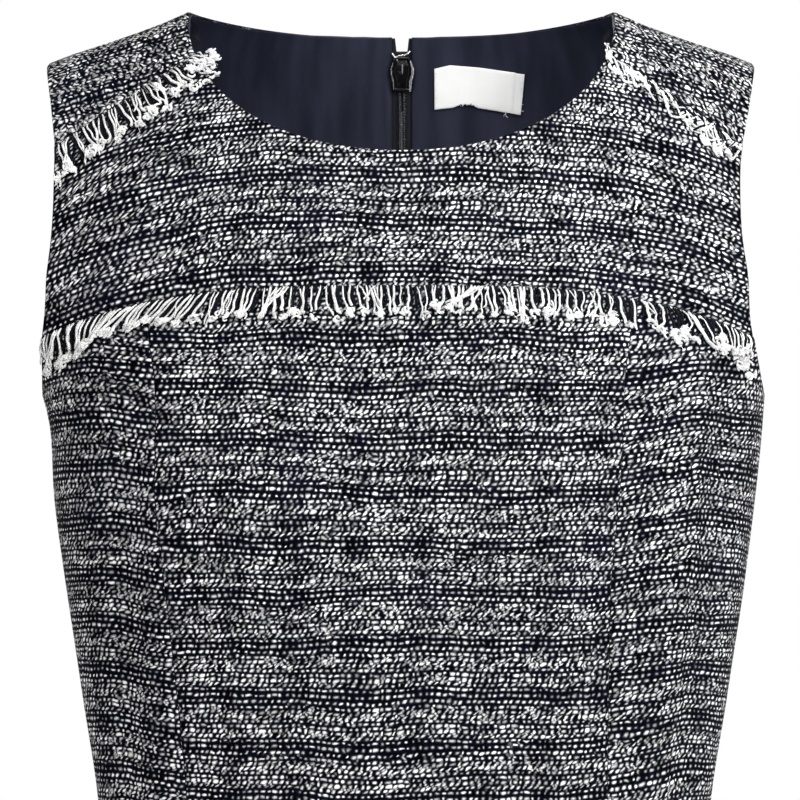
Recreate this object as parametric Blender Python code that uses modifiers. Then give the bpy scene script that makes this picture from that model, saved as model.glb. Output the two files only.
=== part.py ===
"""A sleeveless sheath dress of tweed, filled out and hollow, as if it were worn.

Metres, +Z up, the front faces -Y.  The origin lies midway between the shoulders, at the level
of the high shoulder points, where the wearer carries the dress.  "Right" and "left" are the
wearer's: the right side lies at -X.

The outer form is one smooth surface.  A place on it is given by a turn, the angle round the
body from the centre front, and a level, the height that the ring through it has at its sides.
Above the underarm the rings close over the shoulders.  Every panel, layer and strip of trim is
a grid laid on that surface and moved along its normals.
"""

import math

import bmesh
import bpy
import numpy as np

# ---------------------------------------------------------------- driving sizes, metres
LENGTH = 0.950                  # high shoulder point to hem
NECK_HALF = 0.107               # centre to high shoulder point
NECK_DROP_FRONT = 0.0746
NECK_DROP_BACK = 0.0097
NECK_ROUNDNESS = 2.15           # exponent of the front neckline's oval
BACK_NECK_ROUNDNESS = 2.6
SHOULDER_HALF = 0.1775          # centre to shoulder tip
SHOULDER_DROP = 0.026           # shoulder tip below the high shoulder point
SHOULDER_CURVE = 0.85           # exponent of the slope of the shoulder
UNDERARM = 0.195                # underarm below the high shoulder point

CLOTH = 0.0015                  # thickness of the tweed
LINING = 0.0010
LABEL = 0.0006
TAPE = 0.0006
SEAM_GAP = 0.0003               # between pieces that are sewn together
LAYER_GAP = 0.0004              # between layers that lie on each other

# One row for each level of the body.  half_width is at the side seam; above the underarm it is
# the half-width that the ring would have if the armhole were filled.
SECTION_COLUMNS = ("level", "half_width", "front_depth", "back_depth", "squareness")
SECTIONS = (
    (-0.950, 0.1820, 0.1180, 0.1260, 2.15),
    (-0.800, 0.1860, 0.1190, 0.1330, 2.15),
    (-0.650, 0.1830, 0.1150, 0.1330, 2.20),
    (-0.545, 0.1670, 0.1070, 0.1150, 2.15),
    (-0.480, 0.1550, 0.1010, 0.0960, 2.10),
    (-0.440, 0.1520, 0.0990, 0.0900, 2.10),
    (-0.400, 0.1550, 0.1020, 0.0910, 2.10),
    (-0.345, 0.1630, 0.1100, 0.0960, 2.15),
    (-0.245, 0.1757, 0.1270, 0.1060, 2.20),
    (-0.195, 0.1805, 0.1240, 0.1080, 2.20),
    (-0.160, 0.1885, 0.1220, 0.1080, 2.20),
    (-0.130, 0.1970, 0.1200, 0.1070, 2.20),
    (-0.090, 0.2000, 0.1180, 0.1060, 2.20),
    (-0.026, 0.2000, 0.1180, 0.1050, 2.20),
)

FRONT_CLOSING = 0.250           # height over which the front closes to the shoulder
BACK_CLOSING = 0.130
NECK_CLOSING = 0.160            # height over which the back leans in to the nape
NECK_KEEP = 0.59                # share of the back depth kept at the nape
SLOPE_EASE = 1.5                # exponent of how fast the rings take up the shoulders' slope
NAPE_EASE = 1.5                 # exponent of how fast the nape's lean fades across
BUST_FULLNESS = 0.006
BUST_SIDE = 0.085               # centre to the fullest place
BUST_LEVEL = -0.240
BUST_SPREAD = (0.045, 0.060)    # across and up

# Armhole: how far its edge is turned in from the side seam, in degrees.
ARMHOLE_WIDEST = 0.60           # share of the armhole's height where it is widest
ARMHOLE_SWEEP_FRONT = 34.5
ARMHOLE_SWEEP_BACK = 36.5

# The seam that holds the bust fringe, as a height over the distance from the centre.
YOKE_LEVEL = -0.141
YOKE_FALL = 0.0265              # from the centre front to the armholes
YOKE_CURVE = 3.2
BUST_FRINGE_REACH = 0.018

# The forward shoulder seam runs from the armhole to the neckline.
SEAM_AT_ARMHOLE = -0.0720       # height of its outer end
SEAM_AT_NECK = 0.1025           # centre to its inner end
SHOULDER_FRINGE_REACH = 0.013
FRINGE = 0.003                  # depth of a fringe

PRINCESS_COLUMNS = ("level", "right", "left")
PRINCESS = (
    (-0.950, -0.1080, 0.1030),
    (-0.640, -0.1120, 0.1060),
    (-0.430, -0.1060, 0.1010),
    (-0.300, -0.1150, 0.1010),
    (-0.230, -0.1215, 0.1060),
    (-0.150, -0.1180, 0.1087),
)

# Levels of the rows below the underarm, hem first.
ROW_LEVELS = (-0.950, -0.840, -0.730, -0.630, -0.545, -0.480, -0.430, -0.380, -0.325,
              -0.270, -0.230, -0.195)
FOLLOW_FROM = -0.325            # rows above this level bend to follow the yoke seam
FOLLOW_SHARE = 0.35             # how much of its bend the underarm row takes
ARMHOLE_ROWS = 3                # rows between the underarm and the yoke seam
ARMHOLE_ROW_CURVE = 4           # exponent of how late those rows fall away to the armhole
SIDE_COLUMNS = 5
CENTRE_COLUMNS = 12
YOKE_ROWS = 5
ZIP_COLUMNS = (0.0053, 0.0130, 0.0200)  # distances from the centre back
NAPE_COLUMNS = 6
STRAP_COLUMNS = SIDE_COLUMNS
STRAP_ROWS = 3
BACK_UPPER_ROWS = 9
ARMHOLE_START = 0.15            # pace of the rows at the underarm, which its curve makes finer

LINING_HEM = 0.025              # lining ends this far above the hem
ZIP_END = -0.545
TAPE_EDGE = 0.0125
COIL_HALF = 0.0023
COIL_DEPTH = 0.0018
COIL_TOP_ROW = 18               # the back row level with the slider
COIL_CLEAR = 0.005              # from that row down to the chain, clear of the slider
NOTCH_HALF = 0.0035             # half-width of the opening above the slider
NOTCH_DEPTH = 0.030

LABEL_SPAN = (0.0170, 0.0640)   # across, to the wearer's left
LABEL_RISE = (-0.0460, -0.0235)
LABEL_STAND = 0.0011            # between the lining and the label, over the lining's flats

# Zip slider and pull tab, in the slider's own frame: X across, Y out of the back, Z up it,
# from the crown of the slider on the cloth's outer face.
SLIDER_CROWN = -0.0155          # height of the crown
SLIDER_LENGTH = 0.0205
SLIDER_HALF = 0.0060
SLIDER_FOOT = 0.75              # width of its lower end, as a share
INNER_PLATE = (-0.0064, -0.0045)
OUTER_PLATE = (0.0004, 0.0014)
OUTER_PLATE_HALF = 0.0036
OUTER_PLATE_LENGTH = 0.0130
BRIDGE_HALF = 0.0008            # half-thickness of the post and the bail
POST_SPAN = (-0.0090, -0.0030)
BAIL_SPAN = (-0.0105, -0.0020)
BAIL_WALL = 0.0012
BAIL_HEIGHT = 0.0044
BAIL_ROOF = 0.0010
PIVOT_OUT = 0.0024              # the pull tab's axis
PIVOT_UP = -0.0076
TAB_HALF = 0.0028
TAB_LENGTH = 0.0270
TAB_THICKNESS = 0.0011
TAB_BAR = 0.0012                # the tab's bar, which lies under the bail
TAB_EYE = (0.0013, 0.0039)      # half-width and length of the hole below the bar

MATERIALS = {
    "tweed": ((0.105, 0.108, 0.118), 0.92, 0.0),
    "fringe_yarn": ((0.42, 0.42, 0.42), 0.90, 0.0),
    "lining_satin": ((0.016, 0.019, 0.034), 0.50, 0.0),
    "label_satin": ((0.86, 0.86, 0.85), 0.60, 0.0),
    "zip_tape": ((0.012, 0.013, 0.018), 0.80, 0.0),
    "zip_coil": ((0.010, 0.010, 0.013), 0.40, 0.0),
    "zip_enamel": ((0.008, 0.008, 0.010), 0.18, 0.0),
}


# ---------------------------------------------------------------- the form
def column(table, names, name):
    """One column of a table, as an array."""
    return np.array([row[names.index(name)] for row in table], dtype=float)


def smooth_between(places, values, at):
    """A smooth curve through the values that never swings past them."""
    steps = np.diff(places)
    slopes = np.diff(values) / steps
    before, after = slopes[:-1], slopes[1:]
    same_way = before * after > 0
    mean = np.where(same_way, 2 * before * after / np.where(same_way, before + after, 1.0), 0.0)
    tangents = np.concatenate(([slopes[0]], mean, [slopes[-1]]))
    at = np.clip(at, places[0], places[-1])
    cell = np.clip(np.searchsorted(places, at) - 1, 0, len(steps) - 1)
    width = steps[cell]
    part = (at - places[cell]) / width
    return (values[cell] * (1 + 2 * part) * (1 - part) ** 2
            + tangents[cell] * width * part * (1 - part) ** 2
            + values[cell + 1] * part ** 2 * (3 - 2 * part)
            - tangents[cell + 1] * width * part ** 2 * (1 - part))


def section(name, level):
    places = column(SECTIONS, SECTION_COLUMNS, "level")
    return smooth_between(places, column(SECTIONS, SECTION_COLUMNS, name), level)


def shoulder_slope(across):
    """Height of the shoulder line over the shoulder tip."""
    run = np.clip(np.abs(across) - NECK_HALF, 0, None) / (SHOULDER_HALF - NECK_HALF)
    return SHOULDER_DROP * (1 - run ** SHOULDER_CURVE)


def slope_share(level):
    """How far a ring follows the slope of the shoulders: wholly at the top, not at the underarm."""
    below_tip = -SHOULDER_DROP - level
    return np.clip(1 - below_tip / (UNDERARM - SHOULDER_DROP), 0, 1) ** SLOPE_EASE


def closing(below_tip, height):
    """Share of the full depth that is left near the shoulder line."""
    return np.sqrt(np.clip(1 - np.clip(1 - below_tip / height, 0, 1) ** 2, 0, 1))


def form(turn, level):
    """Points of the outer surface.  turn is in radians from the centre front."""
    turn, level = np.broadcast_arrays(np.asarray(turn, float), np.asarray(level, float))
    level = np.minimum(level, -SHOULDER_DROP)
    power = section("squareness", level)
    sine, cosine = np.abs(np.sin(turn)), np.abs(np.cos(turn))
    radius = (sine ** power + cosine ** power) ** (-1 / power)
    across = section("half_width", level) * radius * np.sin(turn)
    reach = radius * cosine
    below_tip = -SHOULDER_DROP - level

    front = section("front_depth", level) * closing(below_tip, FRONT_CLOSING) * reach
    spread, rise = BUST_SPREAD
    fullness = np.exp(-((np.abs(across) - BUST_SIDE) / spread) ** 2
                      - ((level - BUST_LEVEL) / rise) ** 2)
    front = front + BUST_FULLNESS * fullness * reach

    nape = np.clip(1 - (across / NECK_HALF) ** 2, 0, None) ** NAPE_EASE
    lean = np.sin(np.clip(below_tip / NECK_CLOSING, 0, 1) * math.pi / 2)
    back_share = ((1 - nape) * closing(below_tip, BACK_CLOSING)
                  + nape * (NECK_KEEP + (1 - NECK_KEEP) * lean))
    back = section("back_depth", level) * back_share * reach

    depth = np.where(np.cos(turn) > 0, -front, back)
    height = level + slope_share(level) * shoulder_slope(across)
    return np.stack([across, depth, height], axis=-1)


def normals(turn, level):
    """Outward unit normals of the form."""
    step = 1e-4
    root = np.sqrt(np.clip(-SHOULDER_DROP - np.asarray(level, float), (3 * step) ** 2, None))
    round_body = form(turn + step, -SHOULDER_DROP - root ** 2)
    round_body = round_body - form(turn - step, -SHOULDER_DROP - root ** 2)
    down = form(turn, -SHOULDER_DROP - (root + step) ** 2)
    down = down - form(turn, -SHOULDER_DROP - (root - step) ** 2)
    out = np.cross(down, round_body)
    return out / np.linalg.norm(out, axis=-1, keepdims=True)


def level_at(across, height):
    """The level of the ring that passes through a height at a distance from the centre."""
    across, height = np.broadcast_arrays(np.asarray(across, float), np.asarray(height, float))
    low = np.full(height.shape, -LENGTH)
    high = np.full(height.shape, -SHOULDER_DROP)
    for _ in range(40):
        middle = (low + high) / 2
        below = middle + slope_share(middle) * shoulder_slope(across) < height
        low = np.where(below, middle, low)
        high = np.where(below, high, middle)
    return (low + high) / 2


def turn_at(across, level):
    """The turn, on the front, of a place at a distance from the centre."""
    share = np.clip(np.abs(across) / section("half_width", level), 0, 1)
    power = section("squareness", level)
    return np.sign(across) * np.arctan2(share, (1 - share ** power) ** (1 / power))


def armhole_turn(level, widest_sweep):
    """The turn of the armhole's edge on the wearer's left, front or back by its sweep."""
    top = -SHOULDER_DROP
    rise = np.clip((np.asarray(level, float) + UNDERARM) / (UNDERARM + top), 0, 1)
    tip_sweep = 90 - np.degrees(turn_at(SHOULDER_HALF, top))
    lower = widest_sweep * np.sqrt(1 - np.clip(1 - rise / ARMHOLE_WIDEST, 0, 1) ** 2)
    past = np.clip((rise - ARMHOLE_WIDEST) / (1 - ARMHOLE_WIDEST), 0, 1)
    return np.radians(90 - lower + (widest_sweep - tip_sweep) * past ** 2)


# ---------------------------------------------------------------- seams and edges
def neckline(angle):
    """Front neckline: 0 at the centre front, a right angle at the shoulder."""
    power = 2 / NECK_ROUNDNESS
    across = NECK_HALF * np.abs(np.sin(angle)) ** power * np.sign(angle)
    return across, -NECK_DROP_FRONT * np.abs(np.cos(angle)) ** power


def neck_corner_angle():
    """Where the forward shoulder seam meets the neckline."""
    return math.asin((SEAM_AT_NECK / NECK_HALF) ** (NECK_ROUNDNESS / 2))


def back_neck_height(across):
    return -NECK_DROP_BACK * (1 - np.clip(np.abs(across) / NECK_HALF, 0, 1) ** BACK_NECK_ROUNDNESS)


def yoke_height(across):
    """Height of the seam under the yoke."""
    return YOKE_LEVEL - YOKE_FALL * (np.abs(across) / SHOULDER_HALF) ** YOKE_CURVE


def princess(side, height):
    places = column(PRINCESS, PRINCESS_COLUMNS, "level")
    return smooth_between(places, column(PRINCESS, PRINCESS_COLUMNS, side), height)


def forward_seam():
    """The left forward shoulder seam, neckline end first, as distances across and heights."""
    level = level_at(SHOULDER_HALF, SEAM_AT_ARMHOLE)
    outer = form(armhole_turn(level, ARMHOLE_SWEEP_FRONT), level)
    across, height = neckline(neck_corner_angle())
    part = np.linspace(0, 1, STRAP_COLUMNS + 1)
    return across + (outer[0] - across) * part, height + (outer[2] - height) * part


# ---------------------------------------------------------------- grids laid on the form
def spread(marks, counts):
    """Even steps between each mark and the next."""
    runs = [np.linspace(a, b, n, endpoint=False) for a, b, n in zip(marks, marks[1:], counts)]
    return np.concatenate(runs + [[marks[-1]]])


def fill_between(bottom, top, first, last, rise):
    """Rows between four edges.  rise is each row's share of the way up, column by column."""
    along = np.linspace(0, 1, len(bottom))[None, :, None]
    up = rise[:, :, None]
    sides = (1 - along) * first[:, None] + along * last[:, None]
    ends = (1 - up) * bottom[None] + up * top[None]
    corners = ((1 - up) * ((1 - along) * bottom[0] + along * bottom[-1])
               + up * ((1 - along) * top[0] + along * top[-1]))
    return sides + ends - corners


def on_form(turn, level):
    """A grid: its points and its normals."""
    return form(turn, level), normals(turn, level)


def front_row(level, edge, height_of):
    """One row of the lower front, from the right edge to the left, as turns and levels."""
    marks = [-edge]
    for side, near in (("right", -SHOULDER_HALF / 2), ("left", SHOULDER_HALF / 2)):
        marks.append(float(turn_at(princess(side, height_of(near)), level)))
    marks.append(edge)
    turn = spread(marks, (SIDE_COLUMNS, CENTRE_COLUMNS, SIDE_COLUMNS))
    across = form(turn, level)[:, 0]
    return turn, level_at(across, height_of(across))


def lower_front():
    """Rows from the hem to the yoke seam, as turns and levels."""
    seam_end = YOKE_LEVEL - YOKE_FALL
    rows = []
    for level in ROW_LEVELS:
        bend = FOLLOW_SHARE * max(0.0, (level - FOLLOW_FROM) / (-UNDERARM - FOLLOW_FROM)) ** 2
        rows.append(front_row(level, math.pi / 2,
                              lambda across: level + bend * (yoke_height(across) - seam_end)))
    for step in range(1, ARMHOLE_ROWS + 1):
        level = -UNDERARM + (seam_end + UNDERARM) * (step / ARMHOLE_ROWS) ** 2
        middle_drop = BUST_FRINGE_REACH * (ARMHOLE_ROWS - step) / (ARMHOLE_ROWS - 1)
        further = (seam_end - level) - middle_drop
        rows.append(front_row(
            level, float(armhole_turn(level, ARMHOLE_SWEEP_FRONT)),
            lambda across: (yoke_height(across) - middle_drop
                            - further * np.clip(np.abs(across) / SHOULDER_HALF, 0, 1)
                            ** ARMHOLE_ROW_CURVE)))
    return tuple(np.array(part) for part in zip(*rows))


def front_yoke(seam_turn, seam_level):
    """Rows from the yoke seam up to the forward shoulder seams and the neckline."""
    seam = form(seam_turn, seam_level)[:, [0, 2]]
    across, height = forward_seam()
    left = np.stack([across, height], axis=-1)
    angle = np.linspace(-neck_corner_angle(), neck_corner_angle(), CENTRE_COLUMNS + 1)
    middle = np.stack(neckline(angle), axis=-1)
    top = np.concatenate([left[::-1] * (-1, 1), middle[1:-1], left])

    length = np.linalg.norm(top - seam, axis=-1)
    last_rise = 1 - SHOULDER_FRINGE_REACH / length
    rise = np.linspace(0, 1, YOKE_ROWS)[:, None] * last_rise
    rise = np.concatenate([rise, np.ones((1, len(top)))])
    edges = []
    for side in (0, -1):
        edge_height = seam[side, 1] + (top[side, 1] - seam[side, 1]) * rise[:, side]
        level = level_at(SHOULDER_HALF, edge_height)
        points = form(armhole_turn(level, ARMHOLE_SWEEP_FRONT), level)[:, [0, 2]]
        edges.append(points * ((-1, 1) if side == 0 else (1, 1)))
        edges[-1][0], edges[-1][-1] = seam[side], top[side]
    places = fill_between(seam, top, edges[0], edges[1], rise)
    level = level_at(places[..., 0], places[..., 1])
    return turn_at(places[..., 0], level), level


def root_depth(level):
    """Square root of the depth below the shoulder tip, which is even along the cloth there."""
    return np.sqrt(np.clip(-SHOULDER_DROP - level, 0, None))


def back_half():
    """The wearer's left back: the grid up to the nape and shoulder, and the one over it."""
    across = np.array((0.0,) + ZIP_COLUMNS)
    even = NAPE_COLUMNS + STRAP_COLUMNS
    turns, levels = [], []
    for level in ROW_LEVELS:
        near = math.pi - turn_at(across, level)
        turns.append(np.concatenate([near[:-1], np.linspace(near[-1], math.pi / 2, even + 1)]))
        levels.append(np.full(turns[-1].shape, level))

    nape = np.linspace(across[-1], NECK_HALF, NAPE_COLUMNS + 1)
    ridge = np.linspace(NECK_HALF, SHOULDER_HALF, STRAP_COLUMNS + 1)
    top_across = np.concatenate([across[:-1], nape[:-1], ridge])
    top_level = level_at(top_across, back_neck_height(top_across))
    top_level[-len(ridge):] = -SHOULDER_DROP
    top_turn = math.pi - turn_at(top_across, top_level)
    start = math.sqrt(UNDERARM - SHOULDER_DROP)
    first = len(ZIP_COLUMNS)
    steady = np.linspace(0, 1, BACK_UPPER_ROWS + 1)[:, None]
    at_armhole = ARMHOLE_START * steady + (1 - ARMHOLE_START) * steady ** 2
    rise = steady + (at_armhole - steady) * np.linspace(0, 1, even + 1) ** 2

    roots = start + (root_depth(top_level[:first + 1]) - start) * steady
    near_level = -SHOULDER_DROP - roots ** 2
    near_turn = math.pi - turn_at(across, near_level)
    edge_root = start * (1 - rise[:, -1])
    edge_turn = math.pi - armhole_turn(-SHOULDER_DROP - edge_root ** 2, ARMHOLE_SWEEP_BACK)
    bottom = np.stack([turns[-1][first:], np.full(even + 1, start)], axis=-1)
    top = np.stack([top_turn[first:], root_depth(top_level[first:])], axis=-1)
    sides = (np.stack([near_turn[:, -1], roots[:, -1]], axis=-1),
             np.stack([edge_turn, edge_root], axis=-1))
    places = fill_between(bottom, top, sides[0], sides[1], rise)
    upper_turn = np.concatenate([near_turn[:, :-1], places[..., 0]], axis=1)
    upper_level = np.concatenate([near_level[:, :-1], -SHOULDER_DROP - places[..., 1] ** 2], axis=1)
    turns = np.concatenate([turns, upper_turn[1:]])
    levels = np.concatenate([levels, upper_level[1:]])

    seam_across, seam_height = forward_seam()
    seam_level = level_at(seam_across, seam_height)
    over = np.linspace(0, 1, STRAP_ROWS + 1)
    angle = math.pi / 2 + (neck_corner_angle() - math.pi / 2) * over
    inner_across, inner_height = neckline(angle)
    inner = np.stack([inner_across, root_depth(level_at(inner_across, inner_height))], axis=-1)
    outer_root = root_depth(seam_level[-1]) * over
    outer_level = -SHOULDER_DROP - outer_root ** 2
    outer = form(armhole_turn(outer_level, ARMHOLE_SWEEP_FRONT), outer_level)[:, 0]
    outer = np.stack([outer, outer_root], axis=-1)
    ridge = np.stack([ridge, np.zeros(len(ridge))], axis=-1)
    seam = np.stack([seam_across, root_depth(seam_level)], axis=-1)
    strap = fill_between(ridge, seam, inner, outer, over[:, None] * np.ones(len(ridge)))
    strap_level = -SHOULDER_DROP - strap[..., 1] ** 2
    return (turns, levels), (turn_at(strap[..., 0], strap_level), strap_level)


def back_grid(side):
    """Points and normals of one back, its strap rows on top, with no cells above the nape."""
    lower, strap = back_half()
    points, outward = on_form(*lower)
    over_points, over_outward = on_form(*strap)
    empty = np.full((STRAP_ROWS, points.shape[1] - STRAP_COLUMNS - 1, 3), np.nan)
    points = np.concatenate([points, np.concatenate([empty, over_points[1:]], axis=1)])
    outward = np.concatenate([outward, np.concatenate([empty, over_outward[1:]], axis=1)])
    mirror = np.array((side, 1, 1))
    return points * mirror, outward * mirror


# ---------------------------------------------------------------- layers
def trim(grid, edges, by=SEAM_GAP / 2):
    """Draw the named edges of a grid back along the cloth."""
    points, outward = grid[0].copy(), grid[1]
    picks = {"first": (np.s_[:, 0], np.s_[:, 1]), "last": (np.s_[:, -1], np.s_[:, -2]),
             "bottom": (np.s_[0], np.s_[1]), "top": (np.s_[-1], np.s_[-2])}
    for edge in edges:
        outer, inner = picks[edge]
        away = grid[0][inner] - grid[0][outer]
        points[outer] += away / np.linalg.norm(away, axis=-1, keepdims=True) * by
    return points, outward


def block(grid, rows=slice(None), columns=slice(None)):
    return grid[0][rows, columns], grid[1][rows, columns]


def collection_named(name):
    made = bpy.data.collections.new(name)
    bpy.context.scene.collection.children.link(made)
    return made


def material(slot):
    """A finish by its slot, made the first time it is asked for."""
    if slot not in bpy.data.materials:
        colour, roughness, metallic = MATERIALS[slot]
        made = bpy.data.materials.new(slot)
        made.use_nodes = True
        shader = made.node_tree.nodes["Principled BSDF"]
        shader.inputs["Base Color"].default_value = (*colour, 1.0)
        shader.inputs["Roughness"].default_value = roughness
        shader.inputs["Metallic"].default_value = metallic
        made.diffuse_color = (*colour, 1.0)
    return bpy.data.materials[slot]


def layer(name, slot, grid, outer, inner, collection):
    """A closed sheet on a grid, between two distances out along its normals.

    outer and inner are numbers, or arrays with a value for each column.
    """
    points, outward = grid
    rows, columns = points.shape[:2]
    mesh = bmesh.new()
    bmesh.ops.create_grid(mesh, x_segments=columns - 1, y_segments=rows - 1, size=0.5)
    place = {vertex: (round((vertex.co.y + 0.5) * (rows - 1)),
                      round((vertex.co.x + 0.5) * (columns - 1))) for vertex in mesh.verts}
    empty = [v for v in mesh.verts if np.isnan(points[place[v]]).any()]
    bmesh.ops.delete(mesh, geom=empty, context="VERTS")
    bmesh.ops.triangulate(mesh, faces=mesh.faces[:], quad_method="FIXED")
    sheet = bmesh.ops.extrude_face_region(mesh, geom=mesh.faces[:], use_keep_orig=True)
    lifted = {v for v in sheet["geom"] if isinstance(v, bmesh.types.BMVert)}
    outer = np.broadcast_to(outer, columns)
    inner = np.broadcast_to(inner, columns)
    for vertex in mesh.verts:
        row = round((vertex.co.y + 0.5) * (rows - 1))
        across = round((vertex.co.x + 0.5) * (columns - 1))
        distance = inner[across] if vertex in lifted else outer[across]
        vertex.co = points[row, across] + outward[row, across] * distance
    bmesh.ops.recalc_face_normals(mesh, faces=mesh.faces[:])
    if mesh.calc_volume(signed=True) < 0:
        bmesh.ops.reverse_faces(mesh, faces=mesh.faces[:])
    data = bpy.data.meshes.new(name)
    mesh.to_mesh(data)
    mesh.free()
    return add_object(name, data, slot, collection)


def add_object(name, data, slot, collection):
    made = bpy.data.objects.new(name, data)
    data.materials.append(material(slot))
    collection.objects.link(made)
    return made


# ---------------------------------------------------------------- cloth, lining and trim
def build_front(dress):
    turn, level = lower_front()
    yoke_turn, yoke_level = front_yoke(turn[-1], level[-1])
    seam_row = len(turn) - 1
    whole = on_form(np.concatenate([turn, yoke_turn[1:]]), np.concatenate([level, yoke_level[1:]]))
    below, above = slice(0, seam_row + 1), slice(seam_row, None)
    right, left = SIDE_COLUMNS, SIDE_COLUMNS + CENTRE_COLUMNS

    yoke = trim(block(whole, above), ("bottom", "top"))
    layer("front_yoke", "tweed", yoke, 0, -CLOTH, dress)
    centre = trim(block(whole, below, slice(right, left + 1)), ("first", "last", "top"))
    layer("centre_front", "tweed", centre, 0, -CLOTH, dress)
    side = trim(block(whole, below, slice(0, right + 1)), ("first", "last", "top"))
    layer("side_front_right", "tweed", side, 0, -CLOTH, dress)
    side = trim(block(whole, below, slice(left, None)), ("first", "last", "top"))
    layer("side_front_left", "tweed", side, 0, -CLOTH, dress)

    lining = hem_lifted(trim(whole, ("first", "last", "top")))
    layer("lining_front", "lining_satin", lining, *lining_depths(), dress)

    reach = slice(seam_row - ARMHOLE_ROWS + 1, seam_row + 1)
    layer("bust_fringe", "fringe_yarn", block(whole, reach), LAYER_GAP + FRINGE, LAYER_GAP, dress)
    strips = (("right", slice(0, STRAP_COLUMNS + 1)), ("left", slice(-STRAP_COLUMNS - 1, None)))
    for side, columns in strips:
        strip = block(whole, slice(-2, None), columns)
        layer(f"shoulder_fringe_{side}", "fringe_yarn", strip, LAYER_GAP + FRINGE, LAYER_GAP, dress)


def hem_lifted(grid):
    """The same grid with its lowest row drawn up to the lining's hem, along the cloth."""
    points, outward = grid[0].copy(), grid[1]
    points[0] += (points[1] - points[0]) * LINING_HEM / (ROW_LEVELS[1] - ROW_LEVELS[0])
    return points, outward


def lining_depths(behind=0.0):
    """Distances of the lining's two faces from the form, over a layer that lies behind it."""
    outer = -CLOTH - LAYER_GAP - behind
    return outer, outer - LINING


def notched(grid):
    """A back grid whose centre edge stands open above the zip's slider."""
    points, outward = grid[0].copy(), grid[1]
    side = np.sign(points[0, -1, 0])
    height = points[:, 0, 2]
    part = np.clip(1 + (height + NECK_DROP_BACK) / NOTCH_DEPTH, 0, 1)
    points[:, 0, 0] = side * (SEAM_GAP / 2 + NOTCH_HALF * np.nan_to_num(part))
    points[np.isnan(height), 0] = np.nan
    return points, outward


def build_back(side_name, side, dress):
    grid = back_grid(side)
    cloth = notched(trim(grid, ("last", "top")))
    layer(f"back_{side_name}", "tweed", cloth, 0, -CLOTH, dress)

    tape_behind = TAPE + LAYER_GAP
    over_tape = np.zeros(grid[0].shape[1] - 1)
    over_tape[:len(ZIP_COLUMNS) - 1] = tape_behind
    lining = hem_lifted(trim(block(grid, columns=slice(1, None)), ("last", "top")))
    layer(f"lining_back_{side_name}", "lining_satin", lining, *lining_depths(over_tape), dress)

    rows = slice(zip_row(), len(ROW_LEVELS) + BACK_UPPER_ROWS)
    tape = trim(block(cloth, rows, slice(0, 3)), ("last",), ZIP_COLUMNS[1] - TAPE_EDGE)
    layer(f"zip_tape_{side_name}", "zip_tape", tape, -CLOTH - LAYER_GAP,
          -CLOTH - LAYER_GAP - TAPE, dress)


def zip_row():
    """The row at which the zip ends."""
    return ROW_LEVELS.index(ZIP_END)


# ---------------------------------------------------------------- zip and label
def box(name, low, high, collection):
    """A box between two corners, as an object with its place in its mesh."""
    mesh = bmesh.new()
    bmesh.ops.create_cube(mesh, size=1.0)
    low, high = np.array(low), np.array(high)
    for vertex in mesh.verts:
        vertex.co = (low + high) / 2 + np.array(vertex.co) * (high - low)
    data = bpy.data.meshes.new(name)
    mesh.to_mesh(data)
    mesh.free()
    made = bpy.data.objects.new(name, data)
    collection.objects.link(made)
    return made


def combine(base, operation, other):
    step = base.modifiers.new(f"{operation.lower()} {other.name}", "BOOLEAN")
    step.operation = operation
    step.solver = "EXACT"
    step.object = other


def slider_frame():
    """An empty on the cloth at the slider's crown, leaning with the back."""
    middle = level_at(0.0, SLIDER_CROWN - SLIDER_LENGTH / 2)
    outward = normals(math.pi, middle)
    frame = bpy.data.objects.new("slider_frame", None)
    frame.location = form(math.pi, level_at(0.0, SLIDER_CROWN))
    frame.rotation_euler.x = math.atan2(outward[2], outward[1])
    return frame


def build_slider(frame, dress, tools):
    plate = box("zip_slider", (-SLIDER_HALF, INNER_PLATE[0], -SLIDER_LENGTH),
                (SLIDER_HALF, INNER_PLATE[1], 0), dress)
    for vertex in plate.data.vertices:
        if vertex.co.z < -SLIDER_LENGTH / 2:
            vertex.co.x *= SLIDER_FOOT
    corners = plate.modifiers.new("rounded corners", "BEVEL")
    corners.width = 0.0006
    corners.segments = 2
    outer = box("outer_plate", (-OUTER_PLATE_HALF, OUTER_PLATE[0], -OUTER_PLATE_LENGTH),
                (OUTER_PLATE_HALF, OUTER_PLATE[1], 0), tools)
    post = box("post", (-BRIDGE_HALF, INNER_PLATE[1] - 0.0005, POST_SPAN[0]),
               (BRIDGE_HALF, OUTER_PLATE[0] + 0.0005, POST_SPAN[1]), tools)
    bail = box("bail", (-BRIDGE_HALF, OUTER_PLATE[0] + 0.0005, BAIL_SPAN[0]),
               (BRIDGE_HALF, BAIL_HEIGHT, BAIL_SPAN[1]), tools)
    window = box("bail_window", (-2 * BRIDGE_HALF, OUTER_PLATE[1], BAIL_SPAN[0] + BAIL_WALL),
                 (2 * BRIDGE_HALF, BAIL_HEIGHT - BAIL_ROOF, BAIL_SPAN[1] - BAIL_WALL), tools)
    combine(bail, "DIFFERENCE", window)
    for piece in (outer, post, bail):
        combine(plate, "UNION", piece)
    for piece in (plate, outer, post, bail, window):
        piece.parent = frame
    plate.data.materials.append(material("zip_enamel"))


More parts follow.
